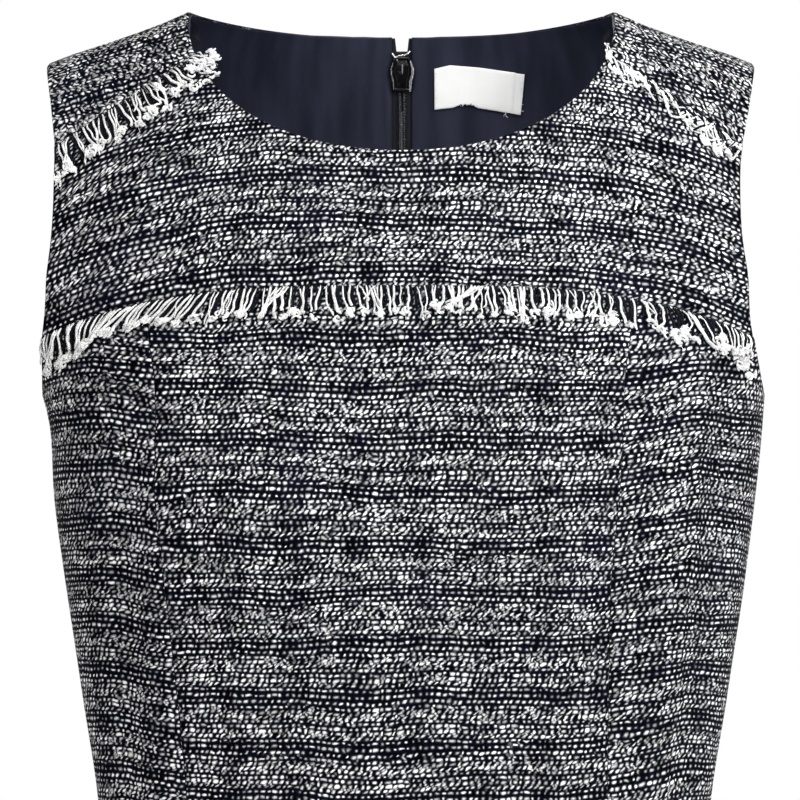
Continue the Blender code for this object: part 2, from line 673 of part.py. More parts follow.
def build_pull_tab(frame, dress, tools):
    """The tab's origin lies on its axis, so that it turns about its own X."""
    top = TAB_BAR / 2
    tab = box("zip_pull_tab", (-TAB_HALF, -TAB_THICKNESS / 2, top - TAB_LENGTH),
              (TAB_HALF, TAB_THICKNESS / 2, top), dress)
    corners = tab.modifiers.new("rounded end", "BEVEL")
    corners.limit_method = "WEIGHT"
    corners.width = TAB_HALF * 0.8
    corners.segments = 4
    weights = tab.data.attributes.new("bevel_weight_edge", "FLOAT", "EDGE")
    for edge in tab.data.edges:
        ends = [tab.data.vertices[i].co for i in edge.vertices]
        if max(end.z for end in ends) < 0 and abs(ends[0].y - ends[1].y) > TAB_THICKNESS / 2:
            weights.data[edge.index].value = 1.0
    half, length = TAB_EYE
    eye = box("tab_eye", (-half, -TAB_THICKNESS, -top - length), (half, TAB_THICKNESS, -top), tools)
    combine(tab, "DIFFERENCE", eye)
    for piece in (tab, eye):
        piece.parent = frame
        piece.location = (0, PIVOT_OUT, PIVOT_UP)
    tab.data.materials.append(material("zip_enamel"))


def build_coil(dress):
    """The closed chain below the slider, a flat cord on the tapes."""
    levels = back_half()[0][1][zip_row():COIL_TOP_ROW + 1, :1]
    across = np.array((COIL_HALF, -COIL_HALF))
    turns = math.pi - turn_at(across, levels)
    chain = trim(on_form(turns, levels * np.ones(2)), ("top",), COIL_CLEAR)
    outer = -CLOTH - TAPE - 2 * LAYER_GAP
    layer("zip_coil", "zip_coil", chain, outer, outer - COIL_DEPTH, dress)


def build_label(dress):
    across = np.linspace(*LABEL_SPAN, 7)
    levels = level_at(0.0, np.linspace(*LABEL_RISE, 4))[:, None] * np.ones(len(across))
    turns = math.pi - turn_at(across, levels)
    outer = lining_depths()[1] - LABEL_STAND
    layer("neck_label", "label_satin", on_form(turns, levels), outer, outer - LABEL, dress)


def main():
    for old in list(bpy.data.objects):
        bpy.data.objects.remove(old, do_unlink=True)
    dress = collection_named("sheath_dress")
    tools = collection_named("cutters")
    build_front(dress)
    for side_name, side in (("right", -1), ("left", 1)):
        build_back(side_name, side, dress)
    build_coil(dress)
    build_label(dress)
    frame = slider_frame()
    dress.objects.link(frame)
    build_slider(frame, dress, tools)
    build_pull_tab(frame, dress, tools)
    for tool in tools.objects:
        tool.hide_render = True
        tool.display_type = "WIRE"


main()
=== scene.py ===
"""The looks of a sleeveless tweed sheath dress: its cloth panels, frayed seams, satin lining,
centre-back zip and neck label, each laid on the dress's form or on its CAD node's place.

Metres, +Z up, the front faces -Y.  Right and left are the wearer's: the right side is at -X.
"""
import math

import bmesh
import bpy
import numpy as np
from mathutils import Matrix, Vector


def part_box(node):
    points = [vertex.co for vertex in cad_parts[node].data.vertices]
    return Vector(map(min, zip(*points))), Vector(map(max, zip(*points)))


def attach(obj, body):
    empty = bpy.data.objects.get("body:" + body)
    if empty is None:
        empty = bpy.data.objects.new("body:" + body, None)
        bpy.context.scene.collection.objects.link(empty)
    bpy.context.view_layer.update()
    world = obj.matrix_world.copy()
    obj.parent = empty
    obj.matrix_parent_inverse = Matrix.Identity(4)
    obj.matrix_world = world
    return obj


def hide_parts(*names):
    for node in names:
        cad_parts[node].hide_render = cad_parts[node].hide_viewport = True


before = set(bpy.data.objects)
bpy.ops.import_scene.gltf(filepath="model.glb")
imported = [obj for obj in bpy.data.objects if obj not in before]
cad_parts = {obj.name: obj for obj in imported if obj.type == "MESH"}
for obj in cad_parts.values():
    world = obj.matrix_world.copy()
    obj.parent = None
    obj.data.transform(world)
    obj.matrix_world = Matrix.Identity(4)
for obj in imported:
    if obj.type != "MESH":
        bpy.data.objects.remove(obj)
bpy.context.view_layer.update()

# ---------------------------------------------------------------- sizes of the form
LENGTH = 0.950
NECK_HALF = 0.107
NECK_DROP_FRONT = 0.0746
NECK_DROP_BACK = 0.0097
NECK_ROUNDNESS = 2.15
BACK_NECK_ROUNDNESS = 2.6
SHOULDER_HALF = 0.1775
SHOULDER_DROP = 0.026
SHOULDER_CURVE = 0.85
UNDERARM = 0.195

CLOTH = 0.0015
LINING = 0.0010
TAPE = 0.0006
SEAM_GAP = 0.0003
LAYER_GAP = 0.0004

SECTION_COLUMNS = ("level", "half_width", "front_depth", "back_depth", "squareness")
SECTIONS = (
    (-0.950, 0.1820, 0.1180, 0.1260, 2.15),
    (-0.800, 0.1860, 0.1190, 0.1330, 2.15),
    (-0.650, 0.1830, 0.1150, 0.1330, 2.20),
    (-0.545, 0.1670, 0.1070, 0.1150, 2.15),
    (-0.480, 0.1550, 0.1010, 0.0960, 2.10),
    (-0.440, 0.1520, 0.0990, 0.0900, 2.10),
    (-0.400, 0.1550, 0.1020, 0.0910, 2.10),
    (-0.345, 0.1630, 0.1100, 0.0960, 2.15),
    (-0.245, 0.1757, 0.1270, 0.1060, 2.20),
    (-0.195, 0.1805, 0.1240, 0.1080, 2.20),
    (-0.160, 0.1885, 0.1220, 0.1080, 2.20),
    (-0.130, 0.1970, 0.1200, 0.1070, 2.20),
    (-0.090, 0.2000, 0.1180, 0.1060, 2.20),
    (-0.026, 0.2000, 0.1180, 0.1050, 2.20),
)
# How far each side hangs out from the even form.
HANG_COLUMNS = ("level", "right", "left")
HANG = (
    (-0.950, 0.0, 0.0),
    (-0.600, 0.0, 0.0005),
    (-0.400, -0.0014, 0.0020),
    (-0.340, -0.0010, 0.0025),
    (-0.288, 0.0, 0.0034),
    (-0.250, 0.0006, 0.0034),
    (-0.215, -0.0006, 0.0038),
    (-0.185, 0.0030, 0.0026),
    (-0.160, 0.0066, 0.0015),
    (-0.140, 0.0062, 0.0012),
    (-0.110, 0.0056, -0.0002),
    (-0.085, 0.0050, -0.0004),
    (-0.065, 0.0040, 0.0006),
    (-0.045, 0.0040, 0.0022),
    (-0.026, 0.0030, 0.0016),
)
HANG_GROWS_TO = 1.2             # it grows outwards, up to this share of the shoulder's half
TIP_ROUND = (0.0045, 0.0030)    # the shoulder tip rounds off over this width, by this depth
TIP_CURVE = 2.2
TIP_LOW_END = -0.056            # from this height up, and in full above the fade
TIP_FADE = 0.03
FRONT_CLOSING = 0.250           # how far below the shoulder tips the front is at full depth,
BACK_CLOSING = 0.130            # and the back,
NECK_CLOSING = 0.160            # and the back below the neck,
NECK_KEEP = 0.59                # which keeps this share of it at the nape
SLOPE_EASE = 1.5
NAPE_EASE = 1.5
BUST_FULLNESS = 0.006
BUST_SIDE = 0.085
BUST_LEVEL = -0.240
BUST_SPREAD = (0.045, 0.060)
ARMHOLE_WIDEST = 0.60           # share of the armhole's height where it sweeps furthest in
ARMHOLE_SWEEP_FRONT = 34.5      # degrees in from the side
ARMHOLE_SWEEP_BACK = 36.5
YOKE_LEVEL = -0.141
YOKE_FALL = 0.0265
YOKE_CURVE = 3.2
BUST_FRINGE_REACH = 0.018
SEAM_AT_ARMHOLE = -0.0720
SEAM_AT_NECK = 0.1025
PRINCESS_COLUMNS = ("level", "right", "left")
PRINCESS = (
    (-0.950, -0.1080, 0.1030),
    (-0.640, -0.1120, 0.1060),
    (-0.430, -0.1060, 0.1010),
    (-0.300, -0.1150, 0.1010),
    (-0.230, -0.1215, 0.1060),
    (-0.150, -0.1180, 0.1087),
)
FOLLOW_FROM = -0.325            # from this level up the rows bend towards the yoke seam's line,
FOLLOW_SHARE = 0.35             # by this share at the underarm
ARMHOLE_ROW_CURVE = 4
FIRST_BEND = 1 / 3              # share of the armhole's rows over which they start to bend
ZIP_COLUMNS = (0.0053, 0.0130, 0.0200)
ARMHOLE_START = 0.15
LINING_HEM = 0.025              # the lining ends this far above the tweed's hem,
LINING_LIFT_OVER = 0.10         # its rows squeezed up over this height
LINING_TURN = 0.4               # how far a lining's edges turn in, as a share of the tweed's
ZIP_END = -0.545
TAPE_EDGE = 0.0125
TAPE_TURN = 0.2
ROW_SLACK = 0.001               # a row this near the zip's end is its last
CLOSED_GAP = 0.00004            # in seams that no light comes through: the zip's, the lining's
NOTCH_HALF = 0.0035
NOTCH_DEPTH = 0.030

# ---------------------------------------------------------------- the threads' grid
NORMAL_STEP = 0.0001            # either side of a place, to find the surface's lie
HALVINGS = 40                   # steps of the search for a level
PAST_HEM = 0.1                  # lengths up the cloth are measured from below the hem
BELOW_TIP = 0.02
RISE_STEPS = 260
ROW_STEP = 0.0075               # between rows of the cloth's mesh
SIDE_COLUMNS = 16
CENTRE_COLUMNS = 34
YOKE_ROWS = 24
ARMHOLE_ROWS = 12
NAPE_COLUMNS = 16
NAPE_SHARE = 0.55               # of the way round a back that lies below the nape
STRAP_COLUMNS = 12
STRAP_ROWS = 10
BACK_UPPER_ROWS = 30
HEM_STEPS = (0.0006, 0.0015, 0.0035)      # close rows above the hem
SEAM_STEPS = (0.975, 0.99, 1.0)           # close rows below the yoke seam, as shares
EDGE_STEPS = (0.0, 0.0045, 0.012, 0.026)  # close lines beside an edge, as shares of a panel
EDGE_TURN = (0.00070, 0.00026, 0.00006)   # how far the face turns in along those lines

HALF_FADE = 0.02                # folds fade out this far from where front and back meet
# Soft folds, one row each: which half (-1 front, 1 back), where its upper and lower ends lie
# across and up, its half-width, its depth (a ridge is negative) and how softly its ends fade.
FOLDS = (
    (-1, -0.1370, -0.2300, -0.1395, -0.4700, 0.0085, 0.0030, 0.060),
    (-1, -0.1180, -0.2500, -0.1220, -0.4300, 0.0100, -0.0012, 0.070),
    (-1, 0.1600, -0.1950, 0.1340, -0.4600, 0.0090, 0.0034, 0.050),
    (-1, 0.1400, -0.2300, 0.1160, -0.4100, 0.0100, -0.0012, 0.070),
    (-1, -0.0600, -0.6200, -0.0760, -1.0500, 0.0200, 0.0028, 0.140),
    (-1, 0.0480, -0.6700, 0.0660, -1.0500, 0.0220, 0.0034, 0.150),
    (-1, -0.1350, -0.6000, -0.1400, -1.0500, 0.0170, -0.0022, 0.150),
    (-1, 0.1300, -0.6400, 0.1350, -1.0500, 0.0160, 0.0024, 0.150),
    (-1, -0.0500, -0.4450, 0.0700, -0.4550, 0.0060, 0.0007, 0.050),
    (1, -0.1300, -0.1900, -0.1180, -0.4500, 0.0110, 0.0030, 0.060),
    (1, 0.1340, -0.2100, 0.1180, -0.4700, 0.0100, 0.0034, 0.060),
    (1, -0.0620, -0.3000, -0.0500, -0.5200, 0.0140, 0.0020, 0.080),
    (1, 0.0560, -0.2700, 0.0470, -0.5000, 0.0150, 0.0022, 0.080),
    (1, -0.0700, -0.6500, -0.0900, -1.0500, 0.0220, 0.0034, 0.150),
    (1, 0.0800, -0.6200, 0.0920, -1.0500, 0.0200, 0.0028, 0.150),
    (1, -0.0150, -0.7000, -0.0250, -1.0500, 0.0160, -0.0016, 0.150),
)


def smooth_between(places, values, at):
    """A smooth curve through the values that never swings past them."""
    steps = np.diff(places)
    slopes = np.diff(values) / steps
    before, after = slopes[:-1], slopes[1:]
    same_way = before * after > 0
    mean = np.where(same_way, 2 * before * after / np.where(same_way, before + after, 1.0), 0.0)
    tangents = np.concatenate(([slopes[0]], mean, [slopes[-1]]))
    at = np.clip(at, places[0], places[-1])
    cell = np.clip(np.searchsorted(places, at) - 1, 0, len(steps) - 1)
    width = steps[cell]
    part = (at - places[cell]) / width
    return (values[cell] * (1 + 2 * part) * (1 - part) ** 2
            + tangents[cell] * width * part * (1 - part) ** 2
            + values[cell + 1] * part ** 2 * (3 - 2 * part)
            - tangents[cell + 1] * width * part ** 2 * (1 - part))


def read(table, names, name, at):
    """A smooth curve through one column of a table, over its first column."""
    rows = np.array(table, dtype=float)
    return smooth_between(rows[:, 0], rows[:, names.index(name)], at)


def section(name, level):
    return read(SECTIONS, SECTION_COLUMNS, name, level)


def along_table(table, share):
    """A table of shares of the way and values, read in straight lines."""
    return np.interp(share, *np.transpose(table))


def shoulder_slope(across):
    """Height of the shoulder line over the shoulder tip."""
    run = np.clip(np.abs(across) - NECK_HALF, 0, None) / (SHOULDER_HALF - NECK_HALF)
    return SHOULDER_DROP * (1 - run ** SHOULDER_CURVE)


def slope_share(level):
    below_tip = -SHOULDER_DROP - level
    return np.clip(1 - below_tip / (UNDERARM - SHOULDER_DROP), 0, 1) ** SLOPE_EASE


def closing(below_tip, height):
    return np.sqrt(np.clip(1 - np.clip(1 - below_tip / height, 0, 1) ** 2, 0, 1))


def bare_form(turn, level):
    """Points of the outer surface without its folds.  turn is from the centre front."""
    turn, level = np.broadcast_arrays(np.asarray(turn, float), np.asarray(level, float))
    level = np.minimum(level, -SHOULDER_DROP)
    power = section("squareness", level)
    sine, cosine = np.abs(np.sin(turn)), np.abs(np.cos(turn))
    radius = (sine ** power + cosine ** power) ** (-1 / power)
    across = section("half_width", level) * radius * np.sin(turn)
    reach = radius * cosine
    below_tip = -SHOULDER_DROP - level

    front = section("front_depth", level) * closing(below_tip, FRONT_CLOSING) * reach
    spread_across, spread_up = BUST_SPREAD
    fullness = np.exp(-((np.abs(across) - BUST_SIDE) / spread_across) ** 2
                      - ((level - BUST_LEVEL) / spread_up) ** 2)
    front = front + BUST_FULLNESS * fullness * reach

    nape = np.clip(1 - (across / NECK_HALF) ** 2, 0, None) ** NAPE_EASE
    lean = np.sin(np.clip(below_tip / NECK_CLOSING, 0, 1) * math.pi / 2)
    back_share = ((1 - nape) * closing(below_tip, BACK_CLOSING)
                  + nape * (NECK_KEEP + (1 - NECK_KEEP) * lean))
    back = section("back_depth", level) * back_share * reach

    depth = np.where(np.cos(turn) > 0, -front, back)
    height = level + slope_share(level) * shoulder_slope(across)
    return np.stack([across, depth, height], axis=-1)


def unit(vectors):
    return vectors / np.linalg.norm(vectors, axis=-1, keepdims=True)


def normals_of(surface, turn, level):
    """Outward unit normals of a surface."""
    step = NORMAL_STEP
    root = np.sqrt(np.clip(-SHOULDER_DROP - np.asarray(level, float), (3 * step) ** 2, None))
    round_body = surface(turn + step, -SHOULDER_DROP - root ** 2)
    round_body = round_body - surface(turn - step, -SHOULDER_DROP - root ** 2)
    down = surface(turn, -SHOULDER_DROP - (root + step) ** 2)
    down = down - surface(turn, -SHOULDER_DROP - (root - step) ** 2)
    return unit(np.cross(down, round_body))


def ease(value):
    """A smooth rise from 0 to 1."""
    value = np.clip(value, 0, 1)
    return value * value * (3 - 2 * value)


def fold_depth(points):
    """How far the soft folds draw the cloth in at some points."""
    total = np.zeros(points.shape[:-1])
    for half, top_x, top_z, low_x, low_z, width, depth, fade in FOLDS:
        line = np.array((low_x - top_x, low_z - top_z))
        length = np.hypot(*line)
        line = line / length
        from_top = points[..., [0, 2]] - (top_x, top_z)
        along = from_top @ line
        aside = from_top[..., 0] * line[1] - from_top[..., 1] * line[0]
        ends = ease(along / fade + 0.5) * ease((length - along) / fade + 0.5)
        this_half = ease(points[..., 1] * half / HALF_FADE)
        total += depth * np.exp(-(aside / width) ** 2) * ends * this_half
    return total


def hung(points):
    """The points moved as the cloth hangs, and with the shoulder tips rounded off."""
    across, height = points[..., 0], points[..., 2]
    right, left = (read(HANG, HANG_COLUMNS, side, height) for side in ("right", "left"))
    share = np.clip(np.abs(across) / SHOULDER_HALF, 0, HANG_GROWS_TO) ** 2
    aside = np.where(across < 0, -right, left) * share
    width, depth = TIP_ROUND
    near_tip = np.clip((np.abs(across) - SHOULDER_HALF + width) / width, 0, 1) ** TIP_CURVE
    near_tip = near_tip * ease((height - TIP_LOW_END) / TIP_FADE)
    moved = points.copy()
    moved[..., 0] += aside
    moved[..., 2] -= depth * near_tip
    return moved


def form(turn, level):
    """Points of the outer surface with its folds."""
    points = bare_form(turn, level)
    folded = points - normals_of(bare_form, turn, level) * fold_depth(points)[..., None]
    return hung(folded)


def level_at(across, height):
    """The level of the ring that passes through a height at a distance from the centre."""
    across, height = np.broadcast_arrays(np.asarray(across, float), np.asarray(height, float))
    low = np.full(height.shape, -LENGTH)
    high = np.full(height.shape, -SHOULDER_DROP)
    for _ in range(HALVINGS):
        middle = (low + high) / 2
        below = middle + slope_share(middle) * shoulder_slope(across) < height
        low = np.where(below, middle, low)
        high = np.where(below, high, middle)
    return (low + high) / 2


def turn_at(across, level):
    """The turn, on the front, of a place at a distance from the centre."""
    share = np.clip(np.abs(across) / section("half_width", level), 0, 1)
    power = section("squareness", level)
    return np.sign(across) * np.arctan2(share, (1 - share ** power) ** (1 / power))


def armhole_turn(level, widest_sweep):
    """The turn of the armhole's edge on the wearer's left, front or back by its sweep."""
    top = -SHOULDER_DROP
    rise = np.clip((np.asarray(level, float) + UNDERARM) / (UNDERARM + top), 0, 1)
    tip_sweep = 90 - np.degrees(turn_at(SHOULDER_HALF, top))
    lower = widest_sweep * np.sqrt(1 - np.clip(1 - rise / ARMHOLE_WIDEST, 0, 1) ** 2)
    past = np.clip((rise - ARMHOLE_WIDEST) / (1 - ARMHOLE_WIDEST), 0, 1)
    return np.radians(90 - lower + (widest_sweep - tip_sweep) * past ** 2)


def neckline(angle):
    """Front neckline: 0 at the centre front, a right angle at the shoulder."""
    power = 2 / NECK_ROUNDNESS
    across = NECK_HALF * np.abs(np.sin(angle)) ** power * np.sign(angle)
    return across, -NECK_DROP_FRONT * np.abs(np.cos(angle)) ** power


def neck_corner_angle():
    return math.asin((SEAM_AT_NECK / NECK_HALF) ** (NECK_ROUNDNESS / 2))


def back_neck_height(across):
    return -NECK_DROP_BACK * (1 - np.clip(np.abs(across) / NECK_HALF, 0, 1) ** BACK_NECK_ROUNDNESS)


def yoke_height(across):
    return YOKE_LEVEL - YOKE_FALL * (np.abs(across) / SHOULDER_HALF) ** YOKE_CURVE


def princess(side, height):
    return read(PRINCESS, PRINCESS_COLUMNS, side, height)


def forward_seam(part):
    """The left forward shoulder seam: distance across and height, 0 at the neckline."""
    level = level_at(SHOULDER_HALF, SEAM_AT_ARMHOLE)
    outer = bare_form(armhole_turn(level, ARMHOLE_SWEEP_FRONT), level)
    across, height = neckline(neck_corner_angle())
    return across + (outer[0] - across) * part, height + (outer[2] - height) * part


# ---------------------------------------------------------------- grids laid on the form
def shares(count):
    """Steps from 0 to 1, even but for close ones at both ends."""
    near = np.array(EDGE_STEPS)
    middle = np.linspace(near[-1], 1 - near[-1], count - 2 * len(near) + 3)
    return np.concatenate([near[:-1], middle, 1 - near[-2::-1]])


def fill_between(bottom, top, first, last, rise, along):
    """Rows between four edges, at each row's share of the way up and each column's across."""
    along = along[None, :, None]
    up = rise[:, :, None]
    sides = (1 - along) * first[:, None] + along * last[:, None]
    ends = (1 - up) * bottom[None] + up * top[None]
    corners = ((1 - up) * ((1 - along) * bottom[0] + along * bottom[-1])
               + up * ((1 - along) * top[0] + along * top[-1]))
    return sides + ends - corners


def lower_levels():
    """Levels from the hem to the underarm."""
    count = round((LENGTH - UNDERARM) / ROW_STEP)
    even = np.linspace(-LENGTH, -UNDERARM, count + 1)
    return np.concatenate([[even[0]], even[0] + np.array(HEM_STEPS), even[1:]])


LOWER_LEVELS = lower_levels()
SIDE_SHARES = shares(SIDE_COLUMNS)
CENTRE_SHARES = shares(CENTRE_COLUMNS)


def front_row(level, edge, height_of):
    """One row of the lower front, from the right edge to the left, as turns and levels."""
    marks = [-edge]
    for side, near in (("right", -SHOULDER_HALF / 2), ("left", SHOULDER_HALF / 2)):
        marks.append(float(turn_at(princess(side, height_of(near)), level)))
    marks.append(edge)
    parts = []
    for start, end, steps in zip(marks, marks[1:], (SIDE_SHARES, CENTRE_SHARES, SIDE_SHARES)):
        parts.append(start + (end - start) * steps)
    turn = np.concatenate([parts[0][:-1], parts[1][:-1], parts[2]])
    across = bare_form(turn, level)[:, 0]
    return turn, level_at(across, height_of(across))


def lower_front():
    """Rows from the hem to the yoke seam, as turns and levels."""
    seam_end = YOKE_LEVEL - YOKE_FALL
    rows = []

    def following(level):
        bend = FOLLOW_SHARE * max(0.0, (level - FOLLOW_FROM) / (-UNDERARM - FOLLOW_FROM)) ** 2
        return lambda across: level + bend * (yoke_height(across) - seam_end)

    for level in LOWER_LEVELS:
        rows.append(front_row(level, math.pi / 2, following(level)))
    for part in np.concatenate([np.linspace(0, 1, ARMHOLE_ROWS - 1)[1:-1], SEAM_STEPS]):
        level = -UNDERARM + (seam_end + UNDERARM) * part ** 2
        drop = BUST_FRINGE_REACH * (1 - max(part, FIRST_BEND)) / (1 - FIRST_BEND)
        further = seam_end - level - drop
        share = min(1.0, part / FIRST_BEND)

        def height_of(across):
            out = np.clip(np.abs(across) / SHOULDER_HALF, 0, 1) ** ARMHOLE_ROW_CURVE
            upper = yoke_height(across) - drop - further * out
            lower = following(-UNDERARM)(across) + (level + UNDERARM) * out
            return upper * share + lower * (1 - share)

        rows.append(front_row(level, float(armhole_turn(level, ARMHOLE_SWEEP_FRONT)), height_of))
    return tuple(np.array(part) for part in zip(*rows))


def front_yoke(seam_turn, seam_level):
    """Rows from the yoke seam up to the forward shoulder seams and the neckline."""
    seam = bare_form(seam_turn, seam_level)[:, [0, 2]]
    left = np.stack(forward_seam(SIDE_SHARES), axis=-1)
    corner = neck_corner_angle()
    middle = np.stack(neckline(-corner + 2 * corner * CENTRE_SHARES), axis=-1)
    top = np.concatenate([left[::-1] * (-1, 1), middle[1:-1], left])
    rise = shares(YOKE_ROWS)[:, None] * np.ones(len(top))
    edges = []
    for side, mirror in ((0, (-1, 1)), (-1, (1, 1))):
        edge_height = seam[side, 1] + (top[side, 1] - seam[side, 1]) * rise[:, side]
        level = level_at(SHOULDER_HALF, edge_height)
        points = bare_form(armhole_turn(level, ARMHOLE_SWEEP_FRONT), level)[:, [0, 2]] * mirror
        points[0], points[-1] = seam[side], top[side]
        edges.append(points)
    run = np.abs(np.diff(seam[:, 0], prepend=seam[0, 0]))
    along = np.cumsum(run) / run.sum()
    places = fill_between(seam, top, edges[0], edges[1], rise, along)
    level = level_at(places[..., 0], places[..., 1])
    return turn_at(places[..., 0], level), level


def root_depth(level):
    """Square root of the depth below the shoulder tip, which is even along the cloth there."""
    return np.sqrt(np.clip(-SHOULDER_DROP - level, 0, None))


def level_of(root):
    return -SHOULDER_DROP - root ** 2


def paired(first, second):
    return np.stack([first, second], axis=-1)


CENTRE_BACK = np.array((0.0, 0.0009, 0.0024, ZIP_COLUMNS[0], 0.0090, ZIP_COLUMNS[1], 0.0165,
                        ZIP_COLUMNS[2]))
TAPE_COLUMNS = 6                # of those, the ones over the zip tape
STRAP_PART = shares(STRAP_COLUMNS)
NAPE_PART = np.linspace(0, 1, NAPE_COLUMNS + 1)
# Across the back beyond those, up to the side: below the nape, then below the shoulder.
BACK_PART = np.concatenate([NAPE_PART[:-1] * NAPE_SHARE,
                            NAPE_SHARE + (1 - NAPE_SHARE) * STRAP_PART])


def back_lower():
    """Rows from the hem to the underarm."""
    turns = []
    for level in LOWER_LEVELS:
        near = math.pi - turn_at(CENTRE_BACK, level)
        turns.append(np.concatenate([near[:-1], near[-1] + (math.pi / 2 - near[-1]) * BACK_PART]))
    turns = np.array(turns)
    return turns, LOWER_LEVELS[:, None] * np.ones(turns.shape)


def back_upper(underarm_turn, ridge):
    """Rows from the underarm to the nape and the shoulder's ridge."""
    first = len(CENTRE_BACK) - 1
    nape = CENTRE_BACK[first] + (NECK_HALF - CENTRE_BACK[first]) * NAPE_PART
    top_across = np.concatenate([CENTRE_BACK[:first], nape[:-1], ridge])
    top_level = level_at(top_across, back_neck_height(top_across))
    top_level[-len(ridge):] = -SHOULDER_DROP
    top_turn = math.pi - turn_at(top_across, top_level)
    start = math.sqrt(UNDERARM - SHOULDER_DROP)
    steady = shares(BACK_UPPER_ROWS)[:, None]
    at_armhole = ARMHOLE_START * steady + (1 - ARMHOLE_START) * steady ** 2
    rise = steady + (at_armhole - steady) * BACK_PART ** 2

    roots = start + (root_depth(top_level[:first + 1]) - start) * steady
    near_turn = math.pi - turn_at(CENTRE_BACK, level_of(roots))
    edge_root = start * (1 - rise[:, -1])
    edge_turn = math.pi - armhole_turn(level_of(edge_root), ARMHOLE_SWEEP_BACK)
    places = fill_between(paired(underarm_turn[first:], np.full(len(BACK_PART), start)),
                          paired(top_turn[first:], root_depth(top_level[first:])),
                          paired(near_turn[:, -1], roots[:, -1]), paired(edge_turn, edge_root),
                          rise, BACK_PART)
    turn = np.concatenate([near_turn[:, :-1], places[..., 0]], axis=1)
    return turn, np.concatenate([level_of(roots)[:, :-1], level_of(places[..., 1])], axis=1)


def back_strap(ridge):
    """Rows over the shoulder, from its ridge forward to the seam."""
    seam_across, seam_height = forward_seam(STRAP_PART)
    seam_level = level_at(seam_across, seam_height)
    over = shares(STRAP_ROWS)
    inner_across, inner_height = neckline(
        math.pi / 2 + (neck_corner_angle() - math.pi / 2) * over)
    outer_root = root_depth(seam_level[-1]) * over
    outer_turn = armhole_turn(level_of(outer_root), ARMHOLE_SWEEP_FRONT)
    outer_across = bare_form(outer_turn, level_of(outer_root))[:, 0]
    strap = fill_between(paired(ridge, np.zeros(len(ridge))),
                         paired(seam_across, root_depth(seam_level)),
                         paired(inner_across, root_depth(level_at(inner_across, inner_height))),
                         paired(outer_across, outer_root),
                         over[:, None] * np.ones(len(ridge)), STRAP_PART)
    level = level_of(strap[..., 1])
    return turn_at(strap[..., 0], level), level


def back_half():
    """The wearer's left back: the grid up to the nape and shoulder, and the one over it."""
    ridge = NECK_HALF + (SHOULDER_HALF - NECK_HALF) * STRAP_PART
    lower = back_lower()
    upper = back_upper(lower[0][-1], ridge)
    whole = tuple(np.concatenate([low, high[1:]]) for low, high in zip(lower, upper))
    return whole, back_strap(ridge)


class Grid:
    """Points, normals and thread coordinates, row by row."""

    def __init__(self, points, outward, threads=None):
        self.points, self.outward, self.threads = points, outward, threads

    def part(self, rows=slice(None), columns=slice(None)):
        threads = None if self.threads is None else self.threads[rows, columns]
        return Grid(self.points[rows, columns], self.outward[rows, columns], threads)

    def trimmed(self, edges, by=SEAM_GAP / 2):
        """The same grid with the named edges drawn back along the cloth."""
        points = self.points.copy()
        picks = {"first": (np.s_[:, 0], np.s_[:, 1]), "last": (np.s_[:, -1], np.s_[:, -2]),
                 "bottom": (np.s_[0], np.s_[1]), "top": (np.s_[-1], np.s_[-2])}
        for edge in edges:
            outer, inner = picks[edge]
            points[outer] += unit(self.points[inner] - self.points[outer]) * by
        return Grid(points, self.outward, self.threads)

    def run(self, axis):
        """Length along the cloth from the first row or column, gaps left out."""
        steps = np.linalg.norm(np.diff(self.points, axis=axis), axis=-1)
        pad = [(1, 0), (0, 0)] if axis == 0 else [(0, 0), (1, 0)]
        return np.cumsum(np.pad(np.nan_to_num(steps), pad), axis=axis)


def on_form(turn, level):
    return Grid(form(turn, level), normals_of(form, turn, level))


def lengths_along(line):
    """How far along a line of points each one lies."""
    return np.concatenate([[0], np.cumsum(np.linalg.norm(np.diff(line, axis=0), axis=1))])


def on_line(line, lengths, at):
    """Points at some lengths along a line."""
    return np.stack([np.interp(at, lengths, column) for column in line.T], axis=-1)


def rise_along(x, heights, back=False):
    """Length up the middle of a panel, from the hem, at some heights of the cloth."""
    places = np.linspace(-LENGTH - PAST_HEM, -SHOULDER_DROP - BELOW_TIP, RISE_STEPS)
    turn = turn_at(np.full(len(places), x), places)
    points = bare_form(math.pi - turn if back else turn, places)
    return np.interp(heights, points[:, 2], lengths_along(points)) - PAST_HEM


# ---------------------------------------------------------------- meshes
def rings_in(present):
    """How many rings of vertices lie between each vertex and the edge, as far as it turns in."""
    rings = np.zeros(present.shape, int)
    left = present.copy()
    for ring in range(1, len(EDGE_TURN) + 1):
        padded = np.pad(left, 1)
        inside = (padded[1:-1, 1:-1] & padded[:-2, 1:-1] & padded[2:, 1:-1]
                  & padded[1:-1, :-2] & padded[1:-1, 2:] & padded[:-2, :-2] & padded[2:, 2:]
                  & padded[:-2, 2:] & padded[2:, :-2])
        rings[inside] = ring
        left = inside
    return rings


